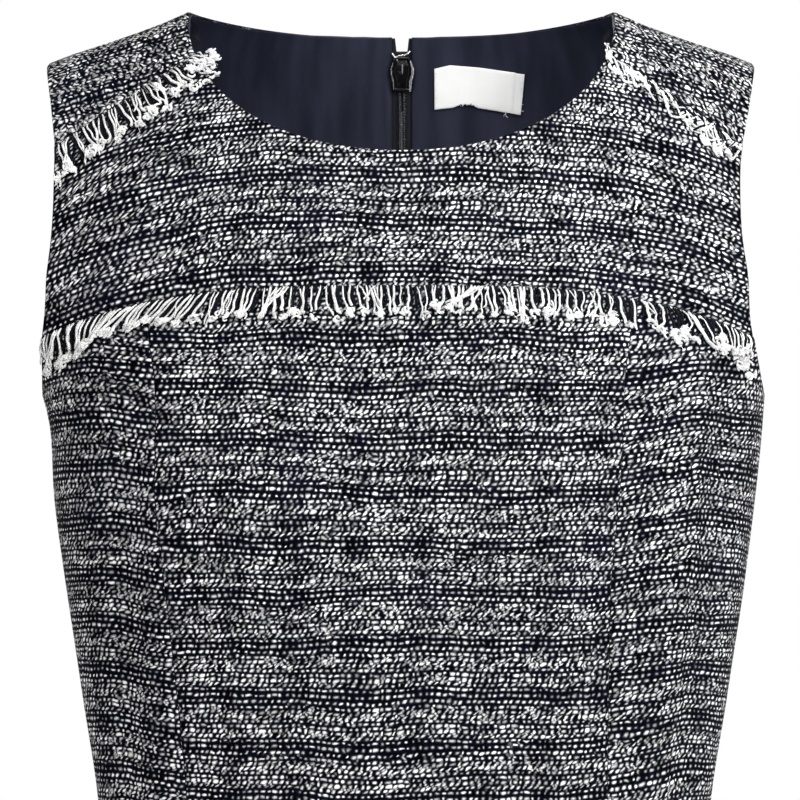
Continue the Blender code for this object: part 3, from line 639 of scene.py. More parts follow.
def sheet_mesh(name, grid, outer, inner, turn_in=1.0, both_turn=False, edged=False):
    """A closed sheet on a grid, between two distances out along its normals.

    The outer face turns in along every edge, and the inner one too where both turn.  An edged
    sheet has a finish of its own on the narrow faces round it.
    """
    rows, columns = grid.points.shape[:2]
    mesh = bmesh.new()
    bmesh.ops.create_grid(mesh, x_segments=columns - 1, y_segments=rows - 1, size=0.5)

    def cell(vertex):
        return (round((vertex.co.y + 0.5) * (rows - 1)), round((vertex.co.x + 0.5) * (columns - 1)))

    present = ~np.isnan(grid.points[..., 0])
    empty = [vertex for vertex in mesh.verts if not present[cell(vertex)]]
    bmesh.ops.delete(mesh, geom=empty, context="VERTS")
    sheet = bmesh.ops.extrude_face_region(mesh, geom=mesh.faces[:], use_keep_orig=True)
    lifted = {v for v in sheet["geom"] if isinstance(v, bmesh.types.BMVert)}
    for face in mesh.faces:
        if edged and 0 < sum(vertex in lifted for vertex in face.verts) < len(face.verts):
            face.material_index = 1
    rings = rings_in(present)
    turns = np.array((*EDGE_TURN, 0.0)) * turn_in
    dip = turns[rings]
    outer = np.broadcast_to(outer, (rows, columns)) - dip
    inner = np.broadcast_to(inner, (rows, columns)) + (dip if both_turn else 0.0)
    places = {vertex: cell(vertex) for vertex in mesh.verts}
    if grid.threads is not None:
        layer = mesh.loops.layers.uv.new("threads")
        for face in mesh.faces:
            for loop in face.loops:
                loop[layer].uv = grid.threads[places[loop.vert]]
    for vertex, place in places.items():
        distance = inner[place] if vertex in lifted else outer[place]
        vertex.co = grid.points[place] + grid.outward[place] * distance
    bmesh.ops.recalc_face_normals(mesh, faces=mesh.faces[:])
    if mesh.calc_volume(signed=True) < 0:
        bmesh.ops.reverse_faces(mesh, faces=mesh.faces[:])
    made = to_object(name, mesh)
    for face in made.data.polygons:
        face.use_smooth = face.material_index == 0
    return made


def to_object(name, mesh, smooth=True):
    data = bpy.data.meshes.new(name)
    mesh.to_mesh(data)
    mesh.free()
    made = bpy.data.objects.new(name, data)
    bpy.context.scene.collection.objects.link(made)
    for face in data.polygons:
        face.use_smooth = smooth
    return made


def finish_piece(piece, materials, nodes=()):
    """Give a piece its finishes, its body and the CAD nodes that it stands for."""
    for material in materials:
        piece.data.materials.append(material)
    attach(piece, "dress")
    if nodes:
        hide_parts(*nodes)
    return piece


def yarns(name, strands, depth, sides=1):
    """Many yarns in one mesh.  Each strand is its points and their thicknesses, as shares."""
    curve = bpy.data.curves.new(name, "CURVE")
    curve.dimensions = "3D"
    curve.bevel_depth = depth
    curve.bevel_resolution = sides
    curve.use_fill_caps = True
    for points, thickness in strands:
        spline = curve.splines.new("POLY")
        spline.points.add(len(points) - 1)
        spline.points.foreach_set("co", np.column_stack([points, np.ones(len(points))]).ravel())
        spline.points.foreach_set("radius", np.asarray(thickness, float))
    holder = bpy.data.objects.new(name + "_curve", curve)
    data = bpy.data.meshes.new_from_object(holder)
    data.materials.clear()
    bpy.data.objects.remove(holder)
    bpy.data.curves.remove(curve)
    return data


def joined(name, meshes):
    """One object of several meshes, each with its own place in the list of finishes."""
    whole = bmesh.new()
    for index, data in enumerate(meshes):
        before = len(whole.faces)
        whole.from_mesh(data)
        whole.faces.ensure_lookup_table()
        for face in whole.faces[before:]:
            face.material_index = index
        bpy.data.meshes.remove(data)
    return to_object(name, whole)


# ---------------------------------------------------------------- finishes
class Signal:
    """A value that runs through a finish.  Arithmetic on it adds the nodes that work it out."""

    def __init__(self, finish, socket):
        self.finish, self.socket = finish, socket

    def math(self, operation, *others):
        return self.finish.math(operation, self, *others)

    def __add__(self, other):
        return self.math("ADD", other)

    def __sub__(self, other):
        return self.math("SUBTRACT", other)

    def __mul__(self, other):
        return self.math("MULTIPLY", other)

    def __truediv__(self, other):
        return self.math("DIVIDE", other)

    def __pow__(self, other):
        return self.math("POWER", other)

    def __mod__(self, other):
        return self.math("FLOORED_MODULO", other)

    def __abs__(self):
        return self.math("ABSOLUTE")

    def floor(self):
        return self.math("FLOOR")

    def spread(self, low, high):
        """A value of 0 to 1 spread from low to high."""
        return self.math("MULTIPLY_ADD", high - low, low)

    def smooth(self, start, end):
        """A smooth change from 0 at start to 1 at end."""
        node = self.finish.add("MapRange", {"interpolation_type": "SMOOTHSTEP"}, Value=self,
                               From_Min=start, From_Max=end)
        return Signal(self.finish, node.outputs[0])


class Finish:
    """A material, and the nodes that make it."""

    def __init__(self, name, roughness, specular, sheen=0.0, **more):
        self.material = bpy.data.materials.new(name)
        self.material.use_nodes = True
        self.tree = self.material.node_tree
        self.shader = self.tree.nodes["Principled BSDF"]
        self.shader.inputs["Roughness"].default_value = roughness
        self.shader.inputs["Specular IOR Level"].default_value = specular
        self.shader.inputs["Sheen Weight"].default_value = sheen
        for key, value in more.items():
            self.shader.inputs[key.replace("_", " ")].default_value = value

    def put(self, socket, value):
        if isinstance(value, (Signal, bpy.types.NodeSocket)):
            self.tree.links.new(getattr(value, "socket", value), socket)
        else:
            socket.default_value = value

    def add(self, kind, settings=(), **inputs):
        node = self.tree.nodes.new("ShaderNode" + kind)
        for key, value in dict(settings).items():
            setattr(node, key, value)
        for key, value in inputs.items():
            self.put(node.inputs[key.replace("_", " ")], value)
        return node

    def signals(self, sockets):
        return [Signal(self, socket) for socket in sockets]

    def math(self, operation, *values):
        node = self.add("Math", {"operation": operation})
        for socket, value in zip(node.inputs, values):
            self.put(socket, value)
        return Signal(self, node.outputs[0])

    def join(self, x, y=0.0, z=0.0):
        return self.add("CombineXYZ", X=x, Y=y, Z=z).outputs[0]

    def on_threads(self):
        """The piece's own thread coordinates, in metres, and their two parts."""
        place = self.add("UVMap").outputs[0]
        along, up, _ = self.signals(self.add("SeparateXYZ", Vector=place).outputs)
        return place, along, up

    def on_object(self):
        return self.add("TexCoord").outputs["Object"]

    def noise(self, place, scale, detail=2.0):
        node = self.add("TexNoise", Vector=place, Scale=scale, Detail=detail)
        return Signal(self, node.outputs["Fac"])

    def noises(self, place, scale, detail=2.0):
        """Three noises of one scale."""
        node = self.add("TexNoise", Vector=place, Scale=scale, Detail=detail)
        return self.split(node.outputs["Color"])

    def chance(self, x, y=0.0, z=0.0):
        """Three random numbers for each whole place."""
        return self.split(self.add("TexWhiteNoise", Vector=self.join(x, y, z)).outputs["Color"])

    def split(self, colour):
        return self.signals(self.add("SeparateColor", Color=colour).outputs)

    def look_up(self, index, rows):
        """The numbers in one row of a table, three or four of them."""
        node = self.add("ValToRGB", Fac=(index + 0.5) * (1 / len(rows)))
        ramp = node.color_ramp
        ramp.interpolation = "CONSTANT"
        while len(ramp.elements) < len(rows):
            ramp.elements.new(1.0)
        for place, row in enumerate(rows):
            ramp.elements[place].position = place / len(rows)
            ramp.elements[place].color = (*row, 1.0)[:4]
        return (*self.split(node.outputs[0])[:3], Signal(self, node.outputs["Alpha"]))

    def evened(self, value, starts):
        """A value of 0 to 1 bent so that the starts come at even steps."""
        node = self.add("FloatCurve", Value=value)
        points = node.mapping.curves[0].points
        for index, start in enumerate(starts[1:-1]):
            points.new(start, (index + 1) / (len(starts) - 1))
        for point in points:
            point.handle_type = "VECTOR"
        node.mapping.update()
        return Signal(self, node.outputs[0])

    def mix(self, share, low, high):
        node = self.add("Mix", {"data_type": "RGBA"}, Factor=share)
        self.put(node.inputs[6], low)
        self.put(node.inputs[7], high)
        return node.outputs[2]

    def painted(self, colour, height, distance, strength):
        """The material, with its colour and a bump of some distance in metres."""
        self.put(self.shader.inputs["Base Color"], colour)
        bump = self.add("Bump", Strength=strength, Distance=distance, Height=height)
        self.put(self.shader.inputs["Normal"], bump.outputs[0])
        return self.material


WARP_PITCH = 0.00312
WEFT_REPEAT = 0.02563
# Where each pick of the repeat starts, as a share of it.
PICK_STARTS = (0.0, 0.128, 0.241, 0.342, 0.436, 0.526, 0.619, 0.715, 0.812, 0.899, 1.0)
PICKS = len(PICK_STARTS) - 1

# One row for each warp end of the repeat: how wide and how bright the white yarn shows over it
# in the even picks, and how wide in the odd ones.
WARP = (
    (0.50, 0.62, 0.66),
    (0.48, 0.54, 0.68),
    (0.50, 0.66, 0.64),
    (0.50, 0.88, 0.52),
    (0.86, 1.00, 0.58),
    (0.50, 0.94, 0.52),
    (0.90, 1.00, 0.60),
    (0.50, 0.94, 0.52),
    (0.86, 1.00, 0.56),
    (0.52, 0.94, 0.52),
)
# One row for each pick, top one first: height, tone, slant, 1 where it is an odd pick.
WEFT = (
    (0.52, 0.86, 0.10, 0.0),
    (0.62, 1.00, 0.25, 1.0),
    (0.62, 1.00, 0.10, 0.0),
    (0.84, 0.80, 0.50, 0.0),
    (0.92, 1.05, 0.50, 1.0),
    (0.66, 0.72, 0.20, 1.0),
    (0.68, 0.95, 0.15, 0.0),
    (0.90, 1.08, 0.30, 0.0),
    (0.84, 0.90, 0.50, 1.0),
    (0.56, 0.88, 0.10, 0.0),
)
# How many of the floats are tied to those of the row above, for each pick, top one first.
TIES = (0.0, 0.0, 0.35, 0.8, 1.0, 1.0, 0.25, 0.6, 1.0, 0.3)
ODD_TONE = 0.95
FLOAT_SQUARENESS = 2.4          # of the rounded outline of a float
MIXED_OVER = 0.03
TIES_PER_END = 2.0
TIE_WIDTH = 1.9                 # larger is narrower, in shares of the space for one tie
TIE_HEIGHT = 2.3


def tie_yarns(made, picks, repeat, ends, muddle):
    """Thin slanting yarns that join some of the floats of one row with those of the next."""
    line = (picks + 0.5).floor()
    off_line = picks - line
    spots = ends * TIES_PER_END
    spot = spots.floor()
    presence, slant, tone = made.chance(spot, repeat * PICKS + line, 5.0)
    off_spot = spots - spot - 0.5 + off_line * slant.spread(-0.7, 1.1)
    reach = abs(off_spot * TIE_WIDTH) ** 2.0 + abs(off_line * TIE_HEIGHT) ** 2.0
    tied = made.look_up(line % PICKS, [(share,) * 3 for share in TIES])[0]
    there = (presence + muddle * 0.10 + tied.spread(-0.35, 0.0)).smooth(0.66, 0.90)
    return reach.smooth(0.95, 0.0) * there * tone.spread(0.25, 0.70)


def tweed_finish(name, mixed_from=None):
    """Black and navy yarns under white floats, in a small repeat of 10 ends and 10 picks.

    Above mixed_from, in metres up the cloth, the yarns lie in a mixed, looser way.
    """
    made = Finish(name, 0.95, 0.02)
    place, along, up = made.on_threads()
    wander = made.noises(place, 30.0)
    shake = made.noises(place, 260.0, 1.0)
    muddle = made.noise(place, 62.0, 1.0).smooth(0.55, 0.72)
    if mixed_from is not None:
        mixed = up.smooth(mixed_from, mixed_from + MIXED_OVER)
        muddle = muddle.math("MAXIMUM", mixed * 1.1)
    drift = made.noise(place, 11.0, 1.0)

    # Which pick this is, and how far into it.
    down = (up * (-1 / WEFT_REPEAT) + wander[1].spread(-0.060, 0.060) + drift.spread(-0.20, 0.20)
            + (shake[1] - 0.5) * muddle.spread(0.045, 0.130))
    repeat = down.floor()
    picks = made.evened(down - repeat, PICK_STARTS) * PICKS
    pick = picks.floor().math("MINIMUM", PICKS - 1)
    in_row = picks - pick
    row = repeat * PICKS + pick
    weft_height, weft_tone, slant, odd = made.look_up(pick, WEFT)
    even = made.math("SUBTRACT", 1.0, odd)

    # Which warp end, and how far into it.  Odd picks are shifted by half an end.
    ends = (along * (1 / WARP_PITCH) + wander[0].spread(-0.6, 0.6)
            + (shake[0] - 0.5) * muddle.spread(0.60, 1.30))
    across = ends + made.chance(row, 7.0)[0].spread(-0.10, 0.10) + odd * -0.5
    end = across.floor()
    in_end = across - end
    even_width, even_tone, odd_width, _ = made.look_up(end % len(WARP), WARP)

    # The float: how large it is, how far from its middle, and how bright.
    size = made.chance(end, row, 3.0)
    shift = made.chance(end, row, 9.0)
    slub = made.noise(made.join(along * 70.0, row * 5.3), 1.0, 1.0).smooth(0.30, 0.70)
    width = ((even_width * even + odd_width * odd) * size[0].spread(0.76, 1.20)
             * slub.spread(0.84, 1.18))
    height = weft_height * size[1].spread(0.70, 1.04) * slub.spread(0.84, 1.18)
    off_row = in_row - 0.5 + size[2].spread(-0.07, 0.07)
    off_end = (in_end - 0.5 + shift[0].spread(-0.11, 0.11)
               + off_row * slant * shift[1].spread(0.3, 1.7))
    reach = (abs(off_end * 2.0 / width) ** FLOAT_SQUARENESS
             + abs(off_row * 2.0 / height) ** FLOAT_SQUARENESS) ** (1 / FLOAT_SQUARENESS)
    fibres = made.noise(made.join(along * 900.0, up * 2200.0), 1.0)
    float_yarn = (reach + fibres.spread(-0.18, 0.18)).smooth(1.24, 0.0)
    fuzz = reach.smooth(1.9, 0.85) * 0.014
    patches = made.noise(made.join(along * 24.0, up * 70.0, 4.0), 1.0, 1.0).smooth(0.25, 0.75)
    tone = ((even_tone * even + odd * ODD_TONE) * weft_tone * shift[2].spread(0.45, 1.60)
            * slub.spread(0.72, 1.15) * patches.spread(0.78, 1.24))
    tie_yarn = tie_yarns(made, picks, repeat, ends, muddle) * patches.spread(0.8, 1.2)
    light = (float_yarn * tone + fuzz).math("MAXIMUM", tie_yarn).math("MINIMUM", 1.0)
    navy = made.noise(place, 16.0, 1.0).smooth(0.50, 0.72)
    dark = made.mix(size[0].math("MAXIMUM", navy), (0.0003, 0.0003, 0.0012, 1),
                    (0.0020, 0.0022, 0.0075, 1))
    white = made.mix(fibres, (0.82, 0.82, 0.83, 1), (0.96, 0.96, 0.965, 1))
    return made.painted(made.mix(light, dark, white), float_yarn * 0.8 + fibres * 0.3, 0.0004,
                        0.5)


def yarn_finish(name, low, high, roughness=0.9):
    """Loose twisted yarn: plies seen as fine slanting streaks, with fuzz between them."""
    made = Finish(name, roughness, 0.04, 0.04)
    place = made.on_object()
    plies = made.noise(place, 1900.0, 3.0)
    patches = made.noise(place, 240.0, 1.0)
    share = (plies * 0.7 + patches * 0.3).smooth(0.36, 0.62)
    return made.painted(made.mix(share, low, high), plies, 0.0003, 0.6)


def satin_finish(name, low, high, sheen_tint):
    """Lining satin: fine warp floats running up the cloth, with a soft sheen from its shader and
    its unevenness painted into the colour as soft clouds.
    """
    made = Finish(name, 0.42, 0.30, 0.10, Sheen_Tint=sheen_tint, Sheen_Roughness=0.5)
    _, along, up = made.on_threads()
    floats = made.noise(made.join(along * 4200.0, up * 700.0), 1.0)
    clouds = made.noise(made.join(along * 95.0, up * 16.0), 1.0, 3.0)
    share = (floats * 0.35 + clouds * 0.65).smooth(0.35, 0.65)
    return made.painted(made.mix(share, low, high), floats, 0.00012, 0.35)


def edge_finish(name, low, high):
    """The turned edge of the lining, matt, painted darker than the satin as shade."""
    made = Finish(name, 1.0, 0.0)
    threads = made.noise(made.on_object(), 1500.0)
    return made.painted(made.mix(threads, low, high), threads, 0.0001, 0.3)


TWILL_ZIGZAG = 0.0016
TWILL_PITCH = 0.0008


def twill_finish(name, low, high):
    """Zip tape: a herringbone of fine twill lines."""
    made = Finish(name, 0.8, 0.15, 0.1)
    place, along, up = made.on_threads()
    lines = along.math("PINGPONG", TWILL_ZIGZAG) + up
    ridge = abs((lines * (1 / TWILL_PITCH)).math("FRACT") - 0.5).smooth(0.0, 0.5)
    fuzz = made.noise(place, 2500.0)
    return made.painted(made.mix(ridge * 0.7 + fuzz * 0.3, low, high), ridge, 0.0002, 0.6)


def enamel_finish(name, roughness, low, high, metallic=0.0):
    """Enamel over metal, with faint orange peel and handling marks."""
    made = Finish(name, roughness, 0.6, Coat_Weight=0.5, Coat_Roughness=0.08, Metallic=metallic)
    place = made.on_object()
    peel = made.noise(place, 900.0)
    marks = made.noise(place, 330.0, 4.0).smooth(0.55, 0.72)
    made.put(made.shader.inputs["Roughness"], marks.spread(roughness, roughness + 0.2))
    return made.painted(made.mix(marks, low, high), peel, 0.0001, 0.25)


LABEL_RIB = 0.00022


def label_finish(name, low, high):
    """White woven label: fine crosswise ribs."""
    made = Finish(name, 0.62, 0.25, 0.1)
    place, along, up = made.on_threads()
    rib = up.math("PINGPONG", LABEL_RIB) * (1 / LABEL_RIB)
    threads = made.noise(made.join(along * 2600.0, up * 1400.0), 1.0)
    patches = made.noise(place, 120.0)
    shade = rib * 0.25 + threads * 0.45 + patches * 0.3
    return made.painted(made.mix(shade, low, high), rib + threads, 0.0001, 0.4)


TWEED = tweed_finish("tweed_cloth")
BACK_TWEED = tweed_finish("tweed_back_cloth", mixed_from=0.955)
WHITE_YARN = yarn_finish("white_yarn", (0.36, 0.36, 0.36, 1), (0.90, 0.90, 0.89, 1))
DARK_YARN = yarn_finish("dark_yarn", (0.0010, 0.0010, 0.0016, 1), (0.006, 0.006, 0.012, 1))
SATIN = satin_finish("lining_navy_satin", (0.0096, 0.0112, 0.0205, 1),
                     (0.0225, 0.0245, 0.0430, 1), (0.25, 0.30, 0.5, 1))
TWILL = twill_finish("zip_tape_twill", (0.003, 0.0035, 0.006, 1), (0.011, 0.012, 0.018, 1))
COIL = enamel_finish("coil_nylon", 0.22, (0.014, 0.015, 0.020, 1), (0.030, 0.031, 0.038, 1))
# Painted shade: the lining's turned edges, darker than its satin.
LINING_EDGE = edge_finish("lining_edge", (0.0030, 0.0034, 0.0060, 1), (0.007, 0.008, 0.013, 1))
COIL_THREAD = yarn_finish("coil_thread", (0.03, 0.032, 0.040, 1), (0.10, 0.105, 0.12, 1), 0.7)
ENAMEL = enamel_finish("zip_black_enamel", 0.16, (0.004, 0.004, 0.005, 1),
                       (0.020, 0.020, 0.022, 1))
# Bright metal for the slider's rims, ridge and crown wire: painted highlights on its black enamel.
HIGHLIGHT_METAL = enamel_finish("painted_highlight_metal", 0.24, (0.62, 0.61, 0.59, 1), (0.90, 0.89, 0.87, 1), 0.8)
LABEL = label_finish("label_weave", (0.68, 0.68, 0.67, 1), (0.84, 0.84, 0.83, 1))


# The lining's own soft folds: which half, across, up, half-width, half-length, depth.
LINING_FOLDS = (
    (1, -0.0250, -0.060, 0.0045, 0.060, 0.0009),
    (1, -0.0480, -0.045, 0.0070, 0.040, 0.0011),
    (1, -0.0790, -0.050, 0.0075, 0.050, 0.0012),
    (1, 0.0250, -0.085, 0.0050, 0.030, 0.0011),
    (1, 0.0480, -0.070, 0.0085, 0.018, 0.0009),
    (1, 0.0760, -0.045, 0.0065, 0.030, 0.0012),
    (1, 0.0950, -0.060, 0.0060, 0.050, 0.0010),
    (1, 0.0700, -0.250, 0.0110, 0.120, 0.0018),
    (1, -0.0900, -0.280, 0.0120, 0.130, 0.0018),
    (1, 0.0800, -0.700, 0.0160, 0.220, 0.0024),
    (1, -0.0700, -0.720, 0.0150, 0.210, 0.0024),
    (-1, -0.0400, -0.500, 0.0140, 0.260, 0.0022),
    (-1, 0.0450, -0.550, 0.0150, 0.300, 0.0024),
    (-1, 0.1050, -0.400, 0.0110, 0.180, 0.0018),
    (-1, -0.1100, -0.420, 0.0110, 0.200, 0.0018),
)


def lining_fold(points):
    """How far the lining's folds stand in from the cloth."""
    total = np.zeros(points.shape[:-1])
    for half, across, height, width, length, depth in LINING_FOLDS:
        aside = (points[..., 0] - across) / width
        up = (points[..., 2] - height) / length
        total += depth * np.exp(-aside ** 2 - up ** 4) * ease(points[..., 1] * half / HALF_FADE)
    return np.nan_to_num(total)


def lining_depths(points, behind=0.0):
    outer = -CLOTH - LAYER_GAP - behind - lining_fold(points)
    return outer, outer - LINING


def lining_sheet(name, grid, node, behind=0.0):
    piece = sheet_mesh(name, grid, *lining_depths(grid.points, behind), turn_in=LINING_TURN,
                       both_turn=True, edged=True)
    return finish_piece(piece, [SATIN, LINING_EDGE], [node])


def hem_lifted(grid):
    """The same grid with its rows squeezed up to the lining's hem, along the cloth."""
    run = grid.run(0)
    lift = LINING_HEM * np.clip(1 - run / LINING_LIFT_OVER, 0, 1)
    raised = grid.points.copy()
    for index in range(grid.points.shape[1]):
        here = run[:, index]
        present = ~np.isnan(grid.points[:, index, 0])
        for axis in range(3):
            raised[present, index, axis] = np.interp(here[present] + lift[present, index],
                                                     here[present],
                                                     grid.points[present, index, axis])
    return Grid(raised, grid.outward, grid.threads)


SIDE_RISE = 0.115               # slope of the side fronts' picks, rising outwards
SIDE_RISE_TO = 0.040            # from the princess seam to where they turn down
SIDE_FALL = 0.055
SIDE_FROM = 0.118               # the princess seam, along the cloth from the centre front
# The weave's start: across, and the height of a first pick.
BODY_PHASE = (-0.0041, -0.2670)
YOKE_PHASE = (-0.0113, -0.1330)
SIDE_PHASE = (0.0060, -0.2600)
FIRST_PICK = 0.06
FRONT_MIDDLE = 0.07             # where lengths up the front and up a back are measured
BACK_MIDDLE = 0.05
SPREAD_FROM = 0.10              # from here outwards the front's threads lie further apart
SPREAD = 0.30
SPREAD_OVER = 0.03


def front_threads(heights, run, phase):
    """Thread coordinates of the front: metres across from the centre and up from a first pick."""
    up = (rise_along(FRONT_MIDDLE, heights) - rise_along(FRONT_MIDDLE, phase[1])
          - FIRST_PICK * WEFT_REPEAT)
    out = np.clip(np.abs(run) - SPREAD_FROM, 0, None)
    run = run - np.sign(run) * SPREAD * out ** 2 / (out + SPREAD_OVER)
    return np.stack([run + phase[0], up], axis=-1)


def side_heights(points, run):
    """Heights as the side fronts' picks see them, which rise and then fall outwards."""
    out = np.abs(run) - SIDE_FROM
    return (points[..., 2] - SIDE_RISE * out
            + (SIDE_RISE + SIDE_FALL) * np.clip(out - SIDE_RISE_TO, 0, None))


def yoke_heights(points, run):
    """Heights as the yoke's picks see them, which follow its seam."""
    return points[..., 2] - (yoke_height(points[..., 0]) - YOKE_LEVEL)


def plain_heights(points, run):
    return points[..., 2]


def make_front():
    turn, level = lower_front()
    yoke_turn, yoke_level = front_yoke(turn[-1], level[-1])
    seam_row = len(turn) - 1
    whole = on_form(np.concatenate([turn, yoke_turn[1:]]), np.concatenate([level, yoke_level[1:]]))
    run = whole.run(1)
    centre = [np.interp(0.0, row, lengths) for row, lengths in zip(whole.points[..., 0], run)]
    run = run - np.array(centre)[:, None]
    below, above = slice(0, seam_row + 1), slice(seam_row, None)
    right = len(SIDE_SHARES) - 1
    left = right + len(CENTRE_SHARES) - 1
    body_seams = ("first", "last", "top")
    panels = (
        ("yoke_cloth", "front_yoke", above, slice(None), ("bottom", "top"), YOKE_PHASE,
         yoke_heights),
        ("centre_front_cloth", "centre_front", below, slice(right, left + 1), body_seams,
         BODY_PHASE, plain_heights),
        ("side_front_right_cloth", "side_front_right", below, slice(0, right + 1), body_seams,
         SIDE_PHASE, side_heights),
        ("side_front_left_cloth", "side_front_left", below, slice(left, None), body_seams,
         SIDE_PHASE, side_heights),
    )
    pieces = []
    for name, node, rows, columns, seams, phase, heights_of in panels:
        grid = whole.part(rows, columns)
        heights = heights_of(grid.points, run[rows, columns])
        grid.threads = front_threads(heights, run[rows, columns], phase)
        piece = sheet_mesh(name, grid.trimmed(seams), 0, -CLOTH, edged=True)
        pieces.append(finish_piece(piece, [TWEED, DARK_YARN], [node]))
    whole.threads = np.stack([run, whole.run(0)], axis=-1)
    lining = hem_lifted(whole.trimmed(body_seams, CLOSED_GAP / 2))
    pieces.append(lining_sheet("front_lining", lining, "lining_front"))
    return pieces


STRAP_EASE = 0.22               # how far the picks turn level past the shoulder's ridge
STRAP_EASED_OVER = 0.03
NAPE_TUCK = -0.0004             # the cloth ends this far down at the nape, and
NAPE_ROLL = 0.0016              # its lining rolls up this far to the edge
NAPE_EASED_OVER = 0.02
NAPE_ROWS = 8


def back_threads(grid, ridge):
    """Thread coordinates of a back: its picks run level low down and along the ridge on top."""
    points = grid.points
    across = grid.run(1)
    first = int(np.flatnonzero(~np.isnan(points[-1, :, 0]))[0])
    ridge_x, ridge_across = points[ridge, first:, 0], across[ridge, first:]
    over = points[ridge + 1:, :, 0]
    across[ridge + 1:] = (np.interp(over, ridge_x, ridge_across)
                          + np.minimum(over - ridge_x[0], 0) + np.maximum(over - ridge_x[-1], 0))
    underarm = len(LOWER_LEVELS) - 1
    up = grid.run(0)
    low_rise = rise_along(BACK_MIDDLE, points[:underarm + 1, :, 2], back=True)
    up[underarm:] = up[underarm:] - up[underarm] + low_rise[-1]
    up[:underarm] = low_rise[:-1]
    short = up[ridge, first:].mean() - up[ridge]
    climb = np.clip((up - up[underarm]) / (up[ridge] - up[underarm]), 0, 1)
    near = np.clip(points[ridge, :, 0] / NECK_HALF, 0, 1) ** 3
    past = np.clip(up - up[ridge], 0, None)
    up = up + short * near * ease(climb)
    tilt = STRAP_EASE * (points[..., 0] - ridge_x.mean()) * ease(past / STRAP_EASED_OVER)
    return np.stack([across, up + tilt], axis=-1)


def back_grid(side):
    """One back: its strap rows on top, with no cells above the nape, and its threads."""
    lower, strap = back_half()
    bare = []
    for turn, level in (lower, strap):
        bare.append(Grid(bare_form(turn, level), normals_of(bare_form, turn, level)))
    shape = (len(strap[0]) - 1, lower[0].shape[1] - strap[0].shape[1])

    def stacked(below, above):
        empty = np.full((*shape, *below.shape[2:]), np.nan)
        return np.concatenate([below, np.concatenate([empty, above[1:]], axis=1)])

    plain_grid = Grid(stacked(bare[0].points, bare[1].points), None)
    threads = back_threads(plain_grid, len(lower[0]) - 1)
    grids = [on_form(turn * side, level) for turn, level in (lower, strap)]
    return Grid(stacked(grids[0].points, grids[1].points),
                stacked(grids[0].outward, grids[1].outward), threads * (side, 1))


def notched(grid):
    """A back grid whose centre edge stands open above the slider, a little low at the nape."""
    points = grid.points.copy()
    side = np.sign(points[0, -1, 0])
    part = np.clip(1 + (points[:, 0, 2] + NECK_DROP_BACK) / NOTCH_DEPTH, 0, 1)
    edge = (CLOSED_GAP / 2 + NOTCH_HALF * part)[:, None]
    near = CENTRE_BACK < ZIP_COLUMNS[0]
    count = int(near.sum())
    squeezed = edge + CENTRE_BACK[near] * (ZIP_COLUMNS[0] - edge) / ZIP_COLUMNS[0]
    points[:, :count, 0] = side * squeezed
    return nape_lowered(Grid(points, grid.outward, grid.threads), NAPE_TUCK)


def nape_lowered(grid, by):
    """The same grid with its nape drawn down the cloth, the rows near it eased along."""
    points = grid.points.copy()
    ends = (~np.isnan(points[..., 0])).sum(axis=0) - 1
    for index in np.flatnonzero(ends < len(points) - 1):
        upper = slice(ends[index] - NAPE_ROWS, ends[index] + 1)
        rows = points[upper, index]
        away = np.linalg.norm(rows - rows[-1], axis=1)
        tuck = by * np.clip(1 - away / NAPE_EASED_OVER, 0, 1)
        points[upper, index] -= unit(np.gradient(rows, axis=0)) * tuck[:, None]
    return Grid(points, grid.outward, grid.threads)


def make_backs():
    pieces = []
    zip_edge = list(CENTRE_BACK).index(ZIP_COLUMNS[0])
    for side_name, side in (("right", -1), ("left", 1)):
        grid = back_grid(side)
        cloth = notched(grid.trimmed(("last", "top")))
        piece = sheet_mesh(f"back_{side_name}_cloth", cloth, 0, -CLOTH, edged=True)
        pieces.append(finish_piece(piece, [BACK_TWEED, DARK_YARN],
                                   [f"back_{side_name}"]))

        over_tape = np.zeros(grid.points.shape[1] - zip_edge)
        over_tape[:TAPE_COLUMNS - zip_edge] = TAPE + LAYER_GAP
        over_tape[TAPE_COLUMNS - zip_edge] = (TAPE + LAYER_GAP) / 2
        lining = grid.part(columns=slice(zip_edge, None))
        lining = lining.trimmed(("last", "top"), CLOSED_GAP / 2)
        lining = nape_lowered(hem_lifted(lining), -NAPE_ROLL)
        pieces.append(lining_sheet(f"back_{side_name}_lining", lining,
                                   f"lining_back_{side_name}", over_tape))

        heights = cloth.points[:, 0, 2]
        rows = np.flatnonzero(heights >= ZIP_END - ROW_SLACK)
        tape = cloth.part(slice(rows[0], rows[-1] + 1), slice(0, TAPE_COLUMNS))
        tape = tape.trimmed(("last",), ZIP_COLUMNS[1] - TAPE_EDGE)
        tape = sheet_mesh(f"zip_tape_cloth_{side_name}", tape, -CLOTH - LAYER_GAP,
                          -CLOTH - LAYER_GAP - TAPE, turn_in=TAPE_TURN, both_turn=True)
        pieces.append(finish_piece(tape, [TWILL], [f"zip_tape_{side_name}"]))
    return pieces


# ---------------------------------------------------------------- frayed seams
def spots_at(across, heights, back=False):
    """Points and normals of the cloth at some distances across and heights."""
    level = level_at(across, heights)
    turn = turn_at(across, level)
    turn = math.pi - turn if back else turn
    return form(turn, level), normals_of(form, turn, level)


WHITE_YARN_HALF = 0.00044
DARK_YARN_HALF = 0.00034
YARN_ROOT = -0.0004             # a yarn leaves the seam from just under the cloth's face
